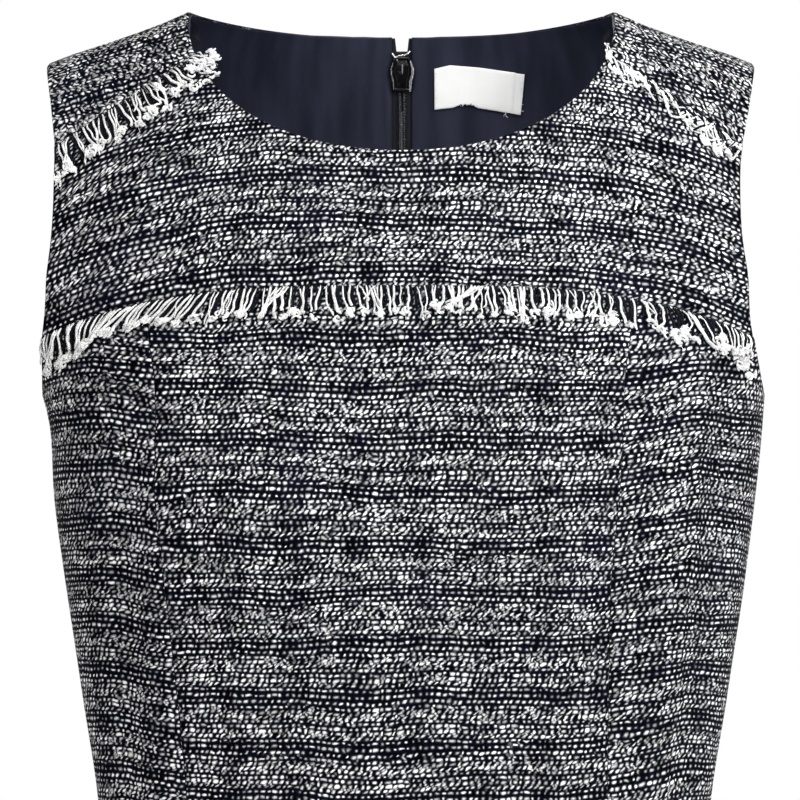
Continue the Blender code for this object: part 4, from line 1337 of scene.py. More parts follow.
# Least and most of what is drawn by chance: steps, lengths and lifts in metres, the rest shares.
BUNCH_STEP = (0.0048, 0.0100)
BUNCH_LENGTH = (0.82, 1.05)
BUNCH_GATHER = (0.12, 0.85)
YARN_STEP = (0.5, 1.6)
WHITE_LENGTH = (0.80, 1.06)
WHITE_LIFT = (0.0013, 0.0025)
WHITE_CURL = (0.0, 0.6)
WHITE_THICK = (0.80, 1.80)
# The dark yarns are partly real and partly a painted shadow under the fringe:
DARK_LENGTH = (0.75, 0.92)
DARK_LIFT = (0.0004, 0.0009)
DARK_THICK = (1.4, 2.3)
TUFT_DOWN = (0.84, 0.97)
TUFT_LIFT = (0.0014, 0.0024)
TUFT_SIZE = 0.0021
TUFT_SHARE = (0.6, 1.35)
STRAY_SHARE = 0.35              # of the bunches that have a stray yarn


class Fringe:
    """A frayed seam seen from the front, and the yarns that hang from it."""

    def __init__(self, across, heights, lean, over, seed):
        """lean is how far the yarns hang towards the wearer's left, in degrees, along it.

        over is how far a yarn may lie beyond either end of the seam.
        """
        self.over = over
        self.flat = np.stack([across, heights], axis=-1)
        self.length = lengths_along(self.flat)
        self.whole = self.length[-1]
        self.forward = unit(np.gradient(self.flat, axis=0))
        angle = np.radians(along_table(lean, self.length / self.whole))
        self.hang = np.stack([np.sin(angle), -np.cos(angle)], axis=-1)
        self.random = np.random.default_rng(seed)
        self.strands = {"white": [], "dark": []}

    def add(self, tint, root, along, down, stand, thick):
        """One yarn: distances along the seam and down from it, and out from the cloth.

        It hangs the way that the seam's yarns hang at its root.
        """
        root = np.clip(root, 0, self.whole)
        held = np.clip(along, 0, self.whole)
        forward, hang = (on_line(field, self.length, root) for field in (self.forward, self.hang))
        beyond = np.clip(along - held, -self.over, self.over)
        flat = (on_line(self.flat, self.length, held) + forward * beyond[:, None]
                + hang * down[:, None])
        self.strands[tint].append((flat, np.broadcast_to(stand, len(flat)),
                                   np.broadcast_to(thick, len(flat))))

    def hanging(self, tint, root, tip, reach, lift, crimp=0.0004, curl=0.0, thick=1.0, steps=10):
        """A yarn that leaves the seam at root and ends beside another place on it."""
        random = self.random
        part = np.linspace(0, 1, steps)
        wave = crimp * np.sin(2 * math.pi * (random.uniform(1, 2.4) * part + random.random()))
        bow = random.uniform(-1, 1) * 0.0012 * np.sin(math.pi * part)
        along = root + (tip - root) * part ** 1.4 + bow + wave * part
        down = reach * (part - curl * np.clip(part - 0.72, 0, None) ** 2 * 4)
        stand = (YARN_ROOT + (lift - YARN_ROOT) * ease(part / 0.2)
                 + random.uniform(0.0, 0.0008) * np.sin(math.pi * part))
        ends = np.interp(part, (0, 0.6, 0.92, 1), (0.85, 1.0, 1.25, 0.6))
        self.add(tint, root, along, down, stand, thick * ends)

    def loop(self, place, down, lift, radius, thick):
        """A curled yarn end."""
        random = self.random
        part = np.linspace(0, 1, 7)
        start = random.uniform(0, 2 * math.pi)
        angle = start + np.linspace(0, random.uniform(2.0, 4.4), len(part))
        stretch = random.uniform(0.6, 1.5)
        self.add("white", place, place + radius * stretch * np.cos(angle),
                 down + radius * np.sin(angle) / stretch, lift + 0.0007 * part,
                 thick * np.interp(part, (0, 0.5, 1), (0.8, 1.1, 0.6)))

    def tuft(self, place, down, lift, size, count):
        """Curled yarn ends and a few fine loose fibres, gathered in a soft white lump."""
        random = self.random
        for _ in range(count):
            self.loop(place + random.normal(0, 0.42) * size, down + random.normal(0, 0.38) * size,
                      lift + random.uniform(0, 0.0012), size * random.uniform(0.30, 0.75),
                      random.uniform(1.0, 1.9))
        for _ in range(count // 2):
            angle = random.uniform(0, 2 * math.pi)
            part = np.linspace(0, 1, 4)
            reach = size * random.uniform(0.9, 1.4)
            self.add("white", place,
                     place + random.normal(0, 0.3) * size + reach * part * math.cos(angle),
                     down + random.normal(0, 0.3) * size
                     + reach * part * (math.sin(angle) + 0.3 * part),
                     lift + 0.0006 + 0.0006 * part, 0.25)

    def tufts(self, rows, lift):
        for share, down, size, count in rows:
            self.tuft(share * self.whole, down, lift, size, count)

    def row(self, reach, loose=1.0, ends=5, step=0.0027, lost=()):
        """Hanging yarns all along the seam, drawn together in small bunches.

        reach gives their length at some distances along.  lost is a table of the share of the
        white yarns that are missing.  ends is how many curled ends gather under each bunch.
        """
        random = self.random
        thinning = np.random.default_rng(5)
        places = [random.uniform(0.0, 0.003)]
        while places[-1] < self.whole:
            places.append(places[-1] + random.uniform(*BUNCH_STEP))
        places = np.array(places)
        tips = places + random.normal(0, 0.0019 * loose, len(places))
        lengths = reach(places) * random.uniform(*BUNCH_LENGTH, len(places))
        gathers = random.uniform(*BUNCH_GATHER, len(places))
        root = 0.0003
        while root < self.whole:
            near = int(np.argmin(np.abs(places - root - random.normal(0, 0.0008))))
            tip = (tips[near] + (root - places[near]) * gathers[near]
                   + random.normal(0, 0.0007 * loose))
            length = lengths[near] * random.uniform(*WHITE_LENGTH)
            missing = along_table(lost, root / self.whole) if lost else 0.0
            if thinning.random() >= missing:
                self.hanging("white", root, tip, length, random.uniform(*WHITE_LIFT),
                             0.0006 * loose, random.uniform(*WHITE_CURL) * loose,
                             random.uniform(*WHITE_THICK))
            # Two thick dark yarns low down beside each white one: partly the seam's own dark yarns,
            # partly a dark layer standing in for the shadow that the fringe casts on the cloth
            # behind it.
            for offset in (0.25, 0.75):
                beside = root + (offset + random.uniform(-0.2, 0.2)) * step
                aim = tips[near] + (beside - places[near]) * 0.6 + random.normal(0, 0.0012)
                self.hanging("dark", beside, aim, length * random.uniform(*DARK_LENGTH),
                             random.uniform(*DARK_LIFT), 0.0005, 0.2,
                             random.uniform(*DARK_THICK))
            root += step * random.uniform(*YARN_STEP)
        for place, tip, length in zip(places, tips, lengths):
            self.tuft(tip, length * random.uniform(*TUFT_DOWN), random.uniform(*TUFT_LIFT),
                      TUFT_SIZE * random.uniform(*TUFT_SHARE), ends)
            if random.random() < STRAY_SHARE:
                self.hanging("white", place, place + random.uniform(-0.006, 0.006),
                             length * random.uniform(0.5, 0.9), 0.0027, 0.0008, 0.3,
                             random.uniform(0.7, 1.0))

    def piece(self, name, node):
        everything = self.strands["white"] + self.strands["dark"]
        spots, outward = spots_at(*np.concatenate([flat for flat, _, _ in everything]).T)
        placed = {"white": [], "dark": []}
        start = 0
        for tint, strands in self.strands.items():
            for flat, stand, thick in strands:
                here = slice(start, start + len(flat))
                placed[tint].append((spots[here] + outward[here] * stand[:, None], thick))
                start += len(flat)
        made = joined(name, [yarns(name + "_white", placed["white"], WHITE_YARN_HALF),
                             yarns(name + "_dark", placed["dark"], DARK_YARN_HALF)])
        return finish_piece(made, [WHITE_YARN, DARK_YARN], [node])


# How far the yarns lean, in degrees towards the wearer's left, and how long they hang, at
# shares of the way along each seam.
BUST_LEAN = ((0.0, 6), (0.04, -4), (0.08, -22), (0.12, -40), (0.20, -32), (0.30, -10), (0.45, 2),
             (0.6, 4), (0.75, 3), (0.86, 18), (0.94, 14), (0.97, 0), (1.0, -10))
BUST_REACH = ((0.0, 0.0195), (0.07, 0.0205), (0.16, 0.0180), (0.5, 0.0165), (0.84, 0.0165),
              (0.93, 0.0190), (1.0, 0.0205))
RIGHT_SHOULDER_LEAN = ((0.0, 84), (0.10, 64), (0.20, 38), (0.4, 32), (0.7, 26), (1.0, 22))
LEFT_SHOULDER_LEAN = ((0.0, 4), (0.5, 8), (1.0, 14))
# Share of the white yarns that are missing along the bust seam.
BUST_LOST = ((0.0, 0.0), (0.74, 0.0), (0.77, 0.45), (0.80, 0.55), (0.815, 0.10), (0.85, 0.15),
             (0.865, 0.70), (0.89, 0.60), (0.90, 0.20), (0.935, 0.25), (0.945, 0.75),
             (0.965, 0.60), (0.975, 0.0), (1.0, 0.0))
# Stray bunches: from, to, length as a share of the reach, how many yarns.
BUST_STRAYS = ((0.608, 0.566, 0.55, 3), (0.600, 0.562, 0.72, 2), (0.612, 0.590, 0.80, 2),
               (0.335, 0.318, 0.75, 2), (0.345, 0.325, 0.45, 2), (0.030, 0.004, 0.90, 2),
               (0.460, 0.475, 0.9, 2), (0.770, 0.752, 0.8, 2))
# Tufts besides those of the bunches: share of the way along, how far down, size, how many ends.
BUST_TUFTS = ((0.03, 0.018, 0.0024, 9), (0.05, 0.0165, 0.0026, 8), (0.978, 0.0100, 0.0026, 9),
              (0.982, 0.0150, 0.0024, 9), (0.985, 0.0200, 0.0022, 7), (0.955, 0.0130, 0.0026, 7),
              (0.935, 0.0120, 0.0034, 11), (0.86, 0.0160, 0.0036, 12), (0.88, 0.0120, 0.0026, 7),
              (0.78, 0.0130, 0.0030, 8), (0.70, 0.0110, 0.0026, 6), (0.645, 0.0130, 0.0026, 7),
              (0.09, 0.0170, 0.0024, 9), (0.13, 0.0160, 0.0026, 10), (0.16, 0.0150, 0.0028, 10),
              (0.20, 0.0145, 0.0026, 9), (0.24, 0.0150, 0.0024, 8), (0.29, 0.0140, 0.0022, 7),
              (0.545, 0.0100, 0.0018, 6), (0.565, 0.0120, 0.0018, 6), (0.36, 0.0140, 0.0022, 7),
              (0.43, 0.0145, 0.0020, 6))
RIGHT_SHOULDER_TUFTS = ((0.96, 0.0145, 0.0026, 9), (0.80, 0.0150, 0.0028, 10),
                        (0.60, 0.0140, 0.0024, 8), (0.40, 0.0145, 0.0028, 10),
                        (0.30, 0.0060, 0.0026, 8), (0.24, 0.0130, 0.0026, 9),
                        (0.12, 0.0090, 0.0030, 12), (0.06, 0.0120, 0.0028, 10),
                        (0.02, 0.0080, 0.0026, 8))
LEFT_SHOULDER_TUFTS = ((0.02, 0.0030, 0.0022, 8), (0.05, 0.0080, 0.0024, 8),
                       (0.13, 0.0045, 0.0016, 5), (0.26, 0.0060, 0.0018, 6),
                       (0.40, 0.0075, 0.0020, 7), (0.55, 0.0115, 0.0022, 8),
                       (0.66, 0.0145, 0.0026, 9), (0.74, 0.0150, 0.0024, 8),
                       (0.83, 0.0120, 0.0018, 6))
STRAY_APART = 0.0016            # between the yarns of a stray bunch
# The left shoulder's rope of yarns, and the loops lower down: at which shares of the way they are
# rooted, how far they run on along the seam, and how deep they hang.
ROPE = ((0.0, 0.52), (0.005, 0.016), (0.0015, 0.0100))
LOOPS = ((0.36, 0.86), (0.005, 0.016), (0.0010, 0.0165))
ROPE_YARNS = 75
ROPE_DARK_SHARE = 0.42
ROPE_WAVE = (0.0008, 0.0019)
ROPE_LIFT = (0.0012, 0.0030)
ROPE_THICK = (0.80, 1.60)
DARK_THICKER = 1.2
# Stray yarns at its top: from, to, how far up, crimp and thickness.
LEFT_SHOULDER_STRAYS = ((0.02, -0.01, 0.0035, 0.0008, 0.7), (0.04, 0.02, 0.0045, 0.0010, 0.6))
BEFORE_SEAM = -0.02             # the shoulder fringes start this share before the neckline


def make_bust_fringe():
    level = level_at(SHOULDER_HALF, YOKE_LEVEL - YOKE_FALL)
    reach = float(bare_form(armhole_turn(level, ARMHOLE_SWEEP_FRONT), level)[0])
    across = np.linspace(-reach, reach, 240)
    fringe = Fringe(across, yoke_height(across), BUST_LEAN, 0.0010, 41)
    whole = fringe.whole
    fringe.row(lambda place: along_table(BUST_REACH, place / whole), lost=BUST_LOST)
    for start, end, share, count in BUST_STRAYS:
        for index in range(count):
            offset = (index - count / 2) * STRAY_APART
            fringe.hanging("white", start * whole + offset, end * whole + offset,
                           float(along_table(BUST_REACH, start)) * share, 0.0028, 0.0006, 0.0,
                           1.0, 14)
    fringe.tufts(BUST_TUFTS, 0.0024)
    return fringe.piece("bust_fringe_yarns", "bust_fringe")


def make_right_shoulder_fringe():
    across, heights = forward_seam(np.linspace(BEFORE_SEAM, 1, 90))
    fringe = Fringe(-across, heights, RIGHT_SHOULDER_LEAN, 0.0035, 17)
    fringe.row(lambda place: 0.0180 + 0.0010 * place / fringe.whole, 1.5, 5, 0.0025)
    fringe.tufts(RIGHT_SHOULDER_TUFTS, 0.0020)
    return fringe.piece("shoulder_fringe_right_yarns", "shoulder_fringe_right")


def make_left_shoulder_fringe():
    """A rope of yarns that lies along its seam and opens into drooping loops lower down."""
    across, heights = forward_seam(np.linspace(BEFORE_SEAM, 1, 90))
    fringe = Fringe(across, heights, LEFT_SHOULDER_LEAN, 0.0, 29)
    random = fringe.random
    whole = fringe.whole
    part = np.linspace(0, 1, 12)
    for index in range(ROPE_YARNS):
        is_loop = index % 5 > 1
        roots, runs, depths = LOOPS if is_loop else ROPE
        root = random.uniform(*roots) * whole
        run, deep = random.uniform(*runs), random.uniform(*depths)
        if is_loop:
            along = np.minimum(root + run * (0.10 * part + 0.90 * part ** 1.6), whole - 0.003)
            down = deep * (ease(part / 0.45) - 0.62 * part ** 2)
        else:
            along = root + run * part
            down = deep * ease(part / 0.5)
        wave = random.uniform(*ROPE_WAVE) * np.sin(
            2 * math.pi * (random.uniform(0.7, 1.8) * part + random.random()))
        tint = "dark" if random.random() < ROPE_DARK_SHARE else "white"
        fringe.add(tint, root, along - wave * 0.5 * part, down + wave * part,
                   YARN_ROOT + random.uniform(*ROPE_LIFT) * ease(part / 0.2),
                   random.uniform(*ROPE_THICK) * (DARK_THICKER if tint == "dark" else 1.0))
    fringe.tufts(LEFT_SHOULDER_TUFTS, 0.0018)
    for start, end, up, crimp, thick in LEFT_SHOULDER_STRAYS:
        fringe.hanging("white", start * whole, end * whole, -up, 0.0020, crimp, 0.0, thick)
    return fringe.piece("shoulder_fringe_left_yarns", "shoulder_fringe_left")


# ---------------------------------------------------------------- zip
SLIDER_CROWN = -0.0155
SLIDER_LENGTH = 0.0205
COIL_PITCH = 0.00150
COIL_STEPS = 7                  # points in one turn of a spiral
COIL_MIDDLE = -0.0038           # from the cloth's face to the middle of the chain
COIL_ASIDE = 0.00110            # from there to the middle of either spiral
COIL_HALF_WIDTH = 0.00095
COIL_HALF_DEPTH = 0.00058
COIL_YARN_HALF = 0.00030
COIL_RISE = 0.006               # how far it runs up into the slider
COIL_FOOT = 0.0004
COIL_STITCH = 0.0012            # from the middle of the chain to the thread that holds it
COIL_STITCH_STEP = 0.00125
COIL_STITCH_HALF = 0.00024
# Points of a stitch: share of a step along, depth from the middle of the chain, and thickness.
COIL_STITCH_BOW = ((-0.27, 0.0008, 0.7), (0.0, 0.0011, 1.0), (0.27, 0.0008, 0.7))


def make_coil():
    """Two flattened spirals of nylon whose turns lock between each other, and their stitches."""
    low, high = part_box("zip_coil")
    heights = np.linspace(high.z + COIL_RISE, low.z + COIL_FOOT, 500)
    points, outward = spots_at(0.0, heights, back=True)
    lengths = lengths_along(points)

    def beside(at, depth, aside):
        spots = on_line(points, lengths, at) + on_line(outward, lengths, at) * depth[:, None]
        spots[:, 0] += aside
        return spots

    turns = int(lengths[-1] / COIL_PITCH) - 1
    steps = np.arange(turns * COIL_STEPS) / COIL_STEPS
    angle = 2 * math.pi * steps
    depth = COIL_MIDDLE + COIL_HALF_DEPTH * np.sin(angle)
    shares_along, bow, thickness = np.transpose(COIL_STITCH_BOW)
    spirals, stitches = [], []
    for side, shift in ((-1, 0.0), (1, 0.5)):
        spiral = beside((steps + shift) * COIL_PITCH, depth,
                        side * (COIL_ASIDE + COIL_HALF_WIDTH * np.cos(angle)))
        spirals.append(yarns(f"coil_{side}", [(spiral, 1 + 0.35 * np.cos(angle))],
                             COIL_YARN_HALF, 0))
        for middle in np.arange(COIL_RISE, lengths[-1] - COIL_STITCH_STEP, COIL_STITCH_STEP):
            stitch = beside(middle + shares_along * COIL_STITCH_STEP, COIL_MIDDLE - bow,
                            side * COIL_STITCH)
            stitches.append((stitch, thickness))
    finish_piece(joined("zip_coil_spirals", spirals), [COIL, COIL], ["zip_coil"])
    thread = joined("zip_coil_stitches", [yarns("coil_thread", stitches, COIL_STITCH_HALF, 0)])
    finish_piece(thread, [COIL_THREAD])


def slider_place():
    """The slider's own frame: X across, Y out of the back, Z up it, from its crown."""
    middle = level_at(0.0, SLIDER_CROWN - SLIDER_LENGTH / 2)
    outward = normals_of(bare_form, math.pi, middle)
    lean = math.atan2(outward[2], outward[1])
    place = bare_form(math.pi, level_at(0.0, SLIDER_CROWN))
    return Matrix.Translation(Vector(place)) @ Matrix.Rotation(lean, 4, "X")


def bevelled(mesh, edges, width):
    bmesh.ops.bevel(mesh, geom=edges, offset=width, offset_type="OFFSET", segments=2,
                    profile=0.5, affect="EDGES", material=-1, clamp_overlap=True)


def add_block(mesh, low, high, bevel, taper):
    """A rounded block between two corners, narrower at its lower end."""
    low, high = Vector(low), Vector(high)
    made = bmesh.ops.create_cube(mesh, size=1.0)["verts"]
    middle, size = (low + high) / 2, high - low
    for vertex in made:
        share = taper if vertex.co.z < 0 else 1.0
        vertex.co = Vector((middle.x + vertex.co.x * size.x * share,
                            middle.y + vertex.co.y * size.y, middle.z + vertex.co.z * size.z))
    edges = list({edge for vertex in made for edge in vertex.link_edges})
    bevelled(mesh, edges, bevel)


# Places on the slider are in its own frame.  Its inner plate: height and half-width, from its
# crown down.
SHIELD = ((-0.0022, 0.0034), (-0.0040, 0.0047), (-0.0080, 0.0060), (-0.0110, 0.0059),
          (-0.0150, 0.0049), (-0.0205, 0.0046))
SHIELD_BACK = -0.0045
SHIELD_THICKNESS = 0.0019
# Steps from its rim inwards: how wide each is, and how far the face beyond it is sunk.
SHIELD_STEPS = ((0.0010, 0.0), (0.0002, 0.0007), (0.0007, 0.0), (0.0004, -0.0009))
# Its blocks: two corners, how far the edges are rounded, and the lower end's share of the width.
SLIDER_BLOCKS = (
    ((-0.0002, -0.0069, -0.0115), (0.0007, -0.0060, -0.0052), 0.00015, 1.0),
    ((-0.0012, -0.0066, -0.0182), (0.0012, -0.0058, -0.0160), 0.00020, 1.0),
    ((-0.0036, 0.0004, -0.0130), (0.0036, 0.0014, -0.0010), 0.00035, 0.72),
    ((-0.0008, -0.0048, -0.0090), (0.0008, 0.0008, -0.0030), 0.00015, 1.0),
)
BAIL_WIDTH = 0.0016
BAIL_THICKNESS = 0.0011
BAIL_TOP = (0.0013, -0.0028)    # where its hoop starts, out and up, and where it turns about
BAIL_MIDDLE = (0.0013, -0.00625)
BAIL_FLAT = (0.00145, 0.72)     # beyond this far out, the hoop is flatter by this share
# Its rims are painted highlights, bright lines where the black edges catch the light, thicker on
# the wearer's left, towards the key light: how much thicker either rim is, and how this goes from
# its top to its foot; then height and thickness along the middle ridge, another painted highlight.
RIMS = ((-1, 0.9), (1, 3.3))
RIM_THICKNESS = ((0, 0.6), (1, 1.0), (3, 1.1), (4, 0.7))
RIM_INSET = 0.0004
RIM_OUT = -0.0066
RIM_END_OUT = -0.0062
RIDGE = ((-0.0056, 1.7), (-0.0070, 1.8), (-0.0090, 1.4), (-0.0108, 0.8))
RIDGE_ASIDE = 0.0002
RIDGE_OUT = -0.0071
HIGHLIGHT_RIM_HALF = 0.00022
CROWN_HALF = 0.00042
# The bent wire at its crown, in bright metal: a painted highlight along the crown's edges.
CROWN_WIRE = (
    ((-0.0050, -0.0044, -0.0006), (-0.0040, -0.0056, -0.0016), (-0.0028, -0.0060, -0.0034),
     (-0.0022, -0.0056, -0.0042)),
    ((-0.0034, -0.0050, -0.0024), (-0.0012, -0.0056, -0.0014), (0.0012, -0.0056, -0.0012),
     (0.0032, -0.0052, -0.0004), (0.0042, -0.0044, 0.0006)),
)


def add_shield(mesh):
    """The inner plate, with a raised rim and a sunken middle."""
    outline = [mesh.verts.new((half, SHIELD_BACK, up)) for up, half in SHIELD]
    outline += [mesh.verts.new((-half, SHIELD_BACK, up)) for up, half in reversed(SHIELD)]
    plate = bmesh.ops.extrude_face_region(mesh, geom=[mesh.faces.new(outline)],
                                          use_keep_orig=True)
    moved = [item for item in plate["geom"] if isinstance(item, bmesh.types.BMVert)]
    bmesh.ops.translate(mesh, verts=moved, vec=(0, -SHIELD_THICKNESS, 0))
    front = [item for item in plate["geom"] if isinstance(item, bmesh.types.BMFace)]
    for width, push in SHIELD_STEPS:
        bmesh.ops.inset_region(mesh, faces=front, thickness=width, depth=0.0,
                               use_even_offset=True)
        bmesh.ops.translate(mesh, verts=list({v for f in front for v in f.verts}),
                            vec=(0, push, 0))
    bmesh.ops.recalc_face_normals(mesh, faces=mesh.faces[:])
    bevelled(mesh, [edge for edge in mesh.edges if edge.calc_face_angle(0.0) > 0.5], 0.00016)


def add_bail(mesh):
    """The hoop outside, which the pull tab swings on."""
    bail = bmesh.ops.create_grid(mesh, x_segments=1, y_segments=1, size=0.5)["verts"]
    out, up = BAIL_TOP
    for vertex in bail:
        vertex.co = (vertex.co.x * BAIL_WIDTH, out, up + vertex.co.y * BAIL_THICKNESS)
    hoop = {face for vertex in bail for face in vertex.link_faces}
    bmesh.ops.spin(mesh, geom=list(hoop), cent=(0, *BAIL_MIDDLE), axis=(-1, 0, 0),
                   angle=math.pi, steps=14, use_merge=False, use_duplicate=False)
    limit, flat = BAIL_FLAT
    for vertex in mesh.verts:
        if vertex.co.y > limit:
            vertex.co.y = limit + (vertex.co.y - limit) * flat


def make_slider():
    mesh = bmesh.new()
    add_shield(mesh)
    for block in SLIDER_BLOCKS:
        add_block(mesh, *block)
    add_bail(mesh)
    bmesh.ops.recalc_face_normals(mesh, faces=mesh.faces[:])
    place = slider_place()
    bmesh.ops.transform(mesh, matrix=place, verts=mesh.verts[:])
    finish_piece(to_object("zip_slider_body", mesh), [ENAMEL], ["zip_slider"])

    def placed(spots):
        return np.array([place @ Vector(spot) for spot in spots])

    # Painted highlights: thin bright tubes along the rims and the middle ridge.
    rims = []
    for side, thick in RIMS:
        rim = np.array([(side * (half - RIM_INSET), RIM_OUT, up) for up, half in SHIELD[1:]])
        rim[0, 1] = rim[-1, 1] = RIM_END_OUT
        rims.append((placed(rim), thick * along_table(RIM_THICKNESS, np.arange(len(rim)))))
    rims.append((placed([(RIDGE_ASIDE, RIDGE_OUT, up) for up, _ in RIDGE]),
                 np.array([thick for _, thick in RIDGE])))
    edges = joined("zip_slider_highlight_rims", [yarns("rims", rims, HIGHLIGHT_RIM_HALF, 2)])
    finish_piece(edges, [HIGHLIGHT_METAL])
    # The crown wire, a painted highlight too.
    wires = [(placed(points), np.linspace(1.1, 0.8, len(points))) for points in CROWN_WIRE]
    crown = joined("zip_crown_wire", [yarns("crown", wires, CROWN_HALF, 2)])
    finish_piece(crown, [HIGHLIGHT_METAL])


# ---------------------------------------------------------------- neck label
# Corners and bends of the label: share of the way along, distance across and height, along its
# top and its foot.
LABEL_TOP = ((0.0, 0.0171, -0.0238), (0.18, 0.0254, -0.0218), (0.49, 0.0400, -0.0230),
             (1.0, 0.0643, -0.0259))
LABEL_FOOT = ((0.0, 0.0171, -0.0446), (0.20, 0.0262, -0.0436), (0.30, 0.0308, -0.0416),
              (0.42, 0.0360, -0.0414), (0.52, 0.0400, -0.0436), (1.0, 0.0620, -0.0470))
LABEL_STAND = 0.0013            # from the lining's inner face to the label
LABEL_THICKNESS = 0.0006
LABEL_FOLD = (0.895, 0.012, 0.0006)     # where its end folds over, over what share, how thick
# Its foot is frayed everywhere, and more where it is torn: middle and half-length of this.
LABEL_TEAR = (0.38, 0.10)
LABEL_FRAY = (0.00008, 0.00050)
# It stands off at its foot in one place (middle, half-length and height) and in two waves
# (height, how fast they go, and where they start or how much they lean).
LABEL_BULGE = (0.36, 0.16, 0.0006)
LABEL_WAVE = (0.0003, 5.5, 0.6)
LABEL_RIPPLE = (0.0002, 9.0, 3.0)
LABEL_STITCH_HALF = 0.00026
# How far the points of an end stitch are along it, and how far they stand in from the lining.
END_STITCH = ((0.0, 0.0024), (0.0003, 0.0030), (0.0007, 0.0030), (0.0010, 0.0024))
# Stitches at its ends: distance across of the top one, how their line leans, how far a stitch
# drops, and their heights.
END_STITCHES = (
    (0.0174, 0.0, 0.0002, (-0.0258, -0.0300, -0.0342, -0.0384, -0.0426)),
    (0.06182667, 0.044444, -0.0001, (-0.0286, -0.0328, -0.0370, -0.0412, -0.0446)),
)
# Loose threads at its foot: distance across, height, run, drop and thickness.
LOOSE_THREADS = (
    (0.0530, -0.0446, 0.0022, -0.0040, 1.0),
    (0.0545, -0.0452, -0.0012, -0.0030, 0.8),
    (0.0300, -0.0420, 0.0014, -0.0012, 0.5),
    (0.0330, -0.0412, -0.0010, -0.0014, 0.5),
    (0.0356, -0.0416, 0.0010, -0.0010, 0.5),
)


def on_lining(across, heights, out):
    """Points of a thread that stands in from the lining by some distances."""
    spots, outward = spots_at(across, heights, back=True)
    return spots + outward * (lining_depths(spots)[1] - out)[:, None]


def make_label():
    random = np.random.default_rng(7)
    part = np.linspace(0, 1, 81)
    rise = np.concatenate([[0.0, 0.02], np.linspace(0.07, 0.95, 18), [0.985, 1.0]])
    (top_x, top_z), (foot_x, foot_z) = (
        [np.interp(part, shares_along, values) for values in (across, heights)]
        for shares_along, across, heights in map(np.transpose, (LABEL_TOP, LABEL_FOOT)))
    middle, half = LABEL_TEAR
    fray, torn = LABEL_FRAY
    fray = fray + torn * np.exp(-((part - middle) / half) ** 4)
    foot_z = foot_z + random.normal(0, 1, len(part)) * fray
    across = foot_x + (top_x - foot_x) * rise[:, None]
    heights = foot_z + (top_z - foot_z) * rise[:, None]
    points, outward = spots_at(across, heights, back=True)
    low = (1 - rise)[:, None]
    fold_from, fold_over, fold_thickness = LABEL_FOLD
    middle, half, height = LABEL_BULGE
    lift = height * np.exp(-((part - middle) / half) ** 2) * low ** 2
    height, pace, start = LABEL_WAVE
    lift = lift + height * np.sin(pace * part + start) ** 2 * low
    height, pace, lean = LABEL_RIPPLE
    lift = lift + height * np.sin(pace * part + lean * low)
    lift = lift + fold_thickness * ease((part - fold_from) / fold_over)
    stand = lining_depths(points)[1] - LABEL_STAND - lift
    threads = np.stack([across, heights], axis=-1)
    piece = sheet_mesh("neck_label_cloth", Grid(points, outward, threads), stand,
                       stand - LABEL_THICKNESS, turn_in=0.3, both_turn=True)
    finish_piece(piece, [LABEL], ["neck_label"])

    strands = []
    steps, stand_in = np.transpose(END_STITCH)
    for across, lean, drop, heights in END_STITCHES:
        for height in heights:
            x = across - lean * (height - heights[0])
            strands.append((on_lining(x + steps, height + drop * np.arange(4) / 3, stand_in),
                            np.full(4, 0.55)))
    part = np.linspace(0, 1, 6)
    for across, height, run, drop, thick in LOOSE_THREADS:
        strands.append((on_lining(across + run * part + 0.0004 * np.sin(6 * part),
                                  height + drop * part, 0.0019 - 0.0009 * part),
                        thick * (1 - 0.4 * part)))
    stitches = joined("neck_label_stitches", [yarns("label_stitches", strands, LABEL_STITCH_HALF)])
    finish_piece(stitches, [WHITE_YARN])
    return piece, stitches


# ---------------------------------------------------------------- the whole dress
def make_dress():
    sheets = make_front() + make_backs()
    fringes = [make_bust_fringe(), make_right_shoulder_fringe(), make_left_shoulder_fringe()]
    make_coil()
    make_slider()
    label, stitches = make_label()
    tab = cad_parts["zip_pull_tab"]
    tab.material_slots[0].material = ENAMEL


# ---------------------------------------------------------------- studio
DRESS_MIDDLE = (0.0, 0.0, -0.25)
# Each light: where it is, what it points at, its size and power, and its spread in degrees.
LIGHTS = {
    "key_softbox": ((1.6, -2.6, 0.9), DRESS_MIDDLE, 1.6, 102.0, 180.0),
    "fill_softbox": ((-1.6, -2.7, 0.5), DRESS_MIDDLE, 1.6, 28.0, 180.0),
    "top_softbox": ((0.0, -0.6, 1.9), DRESS_MIDDLE, 1.4, 18.0, 180.0),
    "back_softbox": ((-1.2, 2.6, 0.8), DRESS_MIDDLE, 1.6, 50.0, 180.0),
    "back_fill_softbox": ((1.6, 2.4, 0.2), DRESS_MIDDLE, 1.6, 36.0, 180.0),
    "neck_light": ((-0.35, -1.5, 0.75), (0.13, 0.05, -0.04), 0.30, 0.12, 9.0),
    "shoulder_light": ((1.1, -2.3, 0.75), (0.165, -0.08, -0.16), 0.30, 0.11, 7.0),
}
ROOM_LIGHT = 0.40
WHITE = (1.0, 1.0, 1.0, 1.0)
FLOOR_HEIGHT = -0.965
FLOOR_RADIUS = 2.0
CAMERA_PLACE = (-0.001, -2.9, -0.197)
CAMERA_ANGLE = 8.0              # that it sees, in degrees


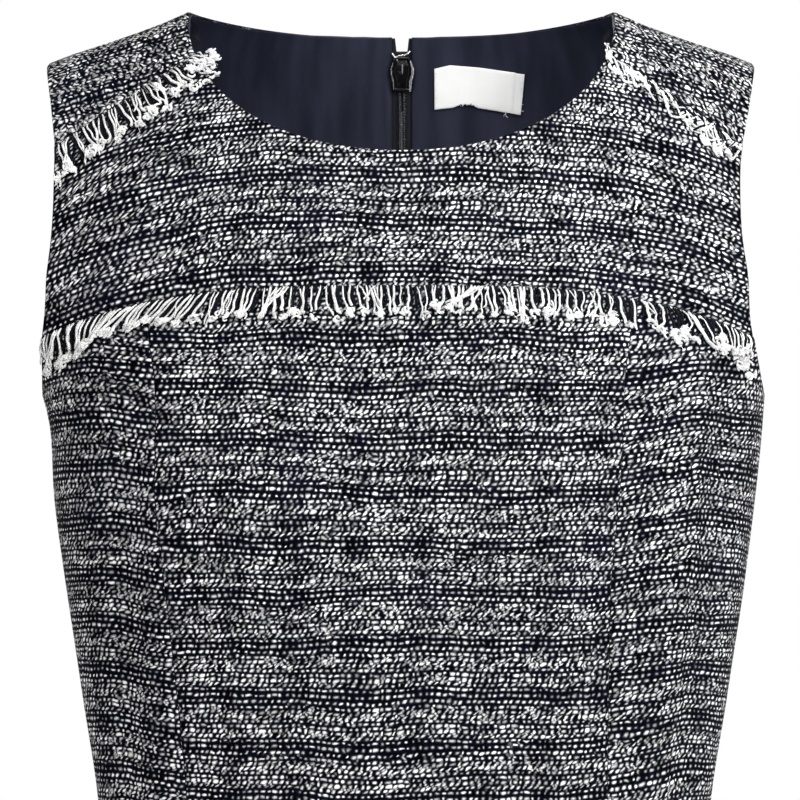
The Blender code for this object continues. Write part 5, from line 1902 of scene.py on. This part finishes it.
def add_light(name, place, aim, size, power, spread):
    data = bpy.data.lights.new(name, "AREA")
    data.shape = "DISK"
    data.size = size
    data.energy = power
    data.spread = math.radians(spread)
    light = bpy.data.objects.new(name, data)
    light.location = place
    light.rotation_euler = (Vector(aim) - Vector(place)).to_track_quat("-Z", "Y").to_euler()
    bpy.context.scene.collection.objects.link(light)


def add_room():
    """A soft even light all round, which the camera sees as plain white."""
    world = bpy.data.worlds.new("studio")
    bpy.context.scene.world = world
    world.use_nodes = True
    tree = world.node_tree
    lit = tree.nodes["Background"]
    seen = tree.nodes.new("ShaderNodeBackground")
    for background, strength in ((lit, ROOM_LIGHT), (seen, 1.0)):
        background.inputs["Color"].default_value = WHITE
        background.inputs["Strength"].default_value = strength
    path = tree.nodes.new("ShaderNodeLightPath")
    mix = tree.nodes.new("ShaderNodeMixShader")
    tree.links.new(path.outputs["Is Camera Ray"], mix.inputs[0])
    tree.links.new(lit.outputs[0], mix.inputs[1])
    tree.links.new(seen.outputs[0], mix.inputs[2])
    tree.links.new(mix.outputs[0], tree.nodes["World Output"].inputs["Surface"])


def add_floor():
    mesh = bmesh.new()
    bmesh.ops.create_circle(mesh, cap_ends=True, radius=FLOOR_RADIUS, segments=96)
    bmesh.ops.translate(mesh, verts=mesh.verts[:], vec=(0, 0, FLOOR_HEIGHT))
    floor = to_object("studio_floor", mesh, smooth=False)
    paint = Finish("pale_floor", 0.8, 0.2)
    grain = paint.noise(paint.on_object(), 6.0)
    paint.put(paint.shader.inputs["Base Color"],
              paint.mix(grain, (0.78, 0.78, 0.78, 1), (0.84, 0.84, 0.84, 1)))
    floor.data.materials.append(paint.material)


def add_camera():
    data = bpy.data.cameras.new("camera")
    data.sensor_width = 36.0
    data.angle = math.radians(CAMERA_ANGLE)
    camera = bpy.data.objects.new("camera", data)
    camera.location = CAMERA_PLACE
    camera.rotation_euler = (math.radians(90), 0, 0)
    bpy.context.scene.collection.objects.link(camera)
    bpy.context.scene.camera = camera


def make_studio():
    settings = bpy.context.scene.view_settings
    settings.view_transform = "Standard"
    settings.look = "None"
    for name, light in LIGHTS.items():
        add_light(name, *light)
    add_room()
    add_floor()
    add_camera()


make_dress()
make_studio()
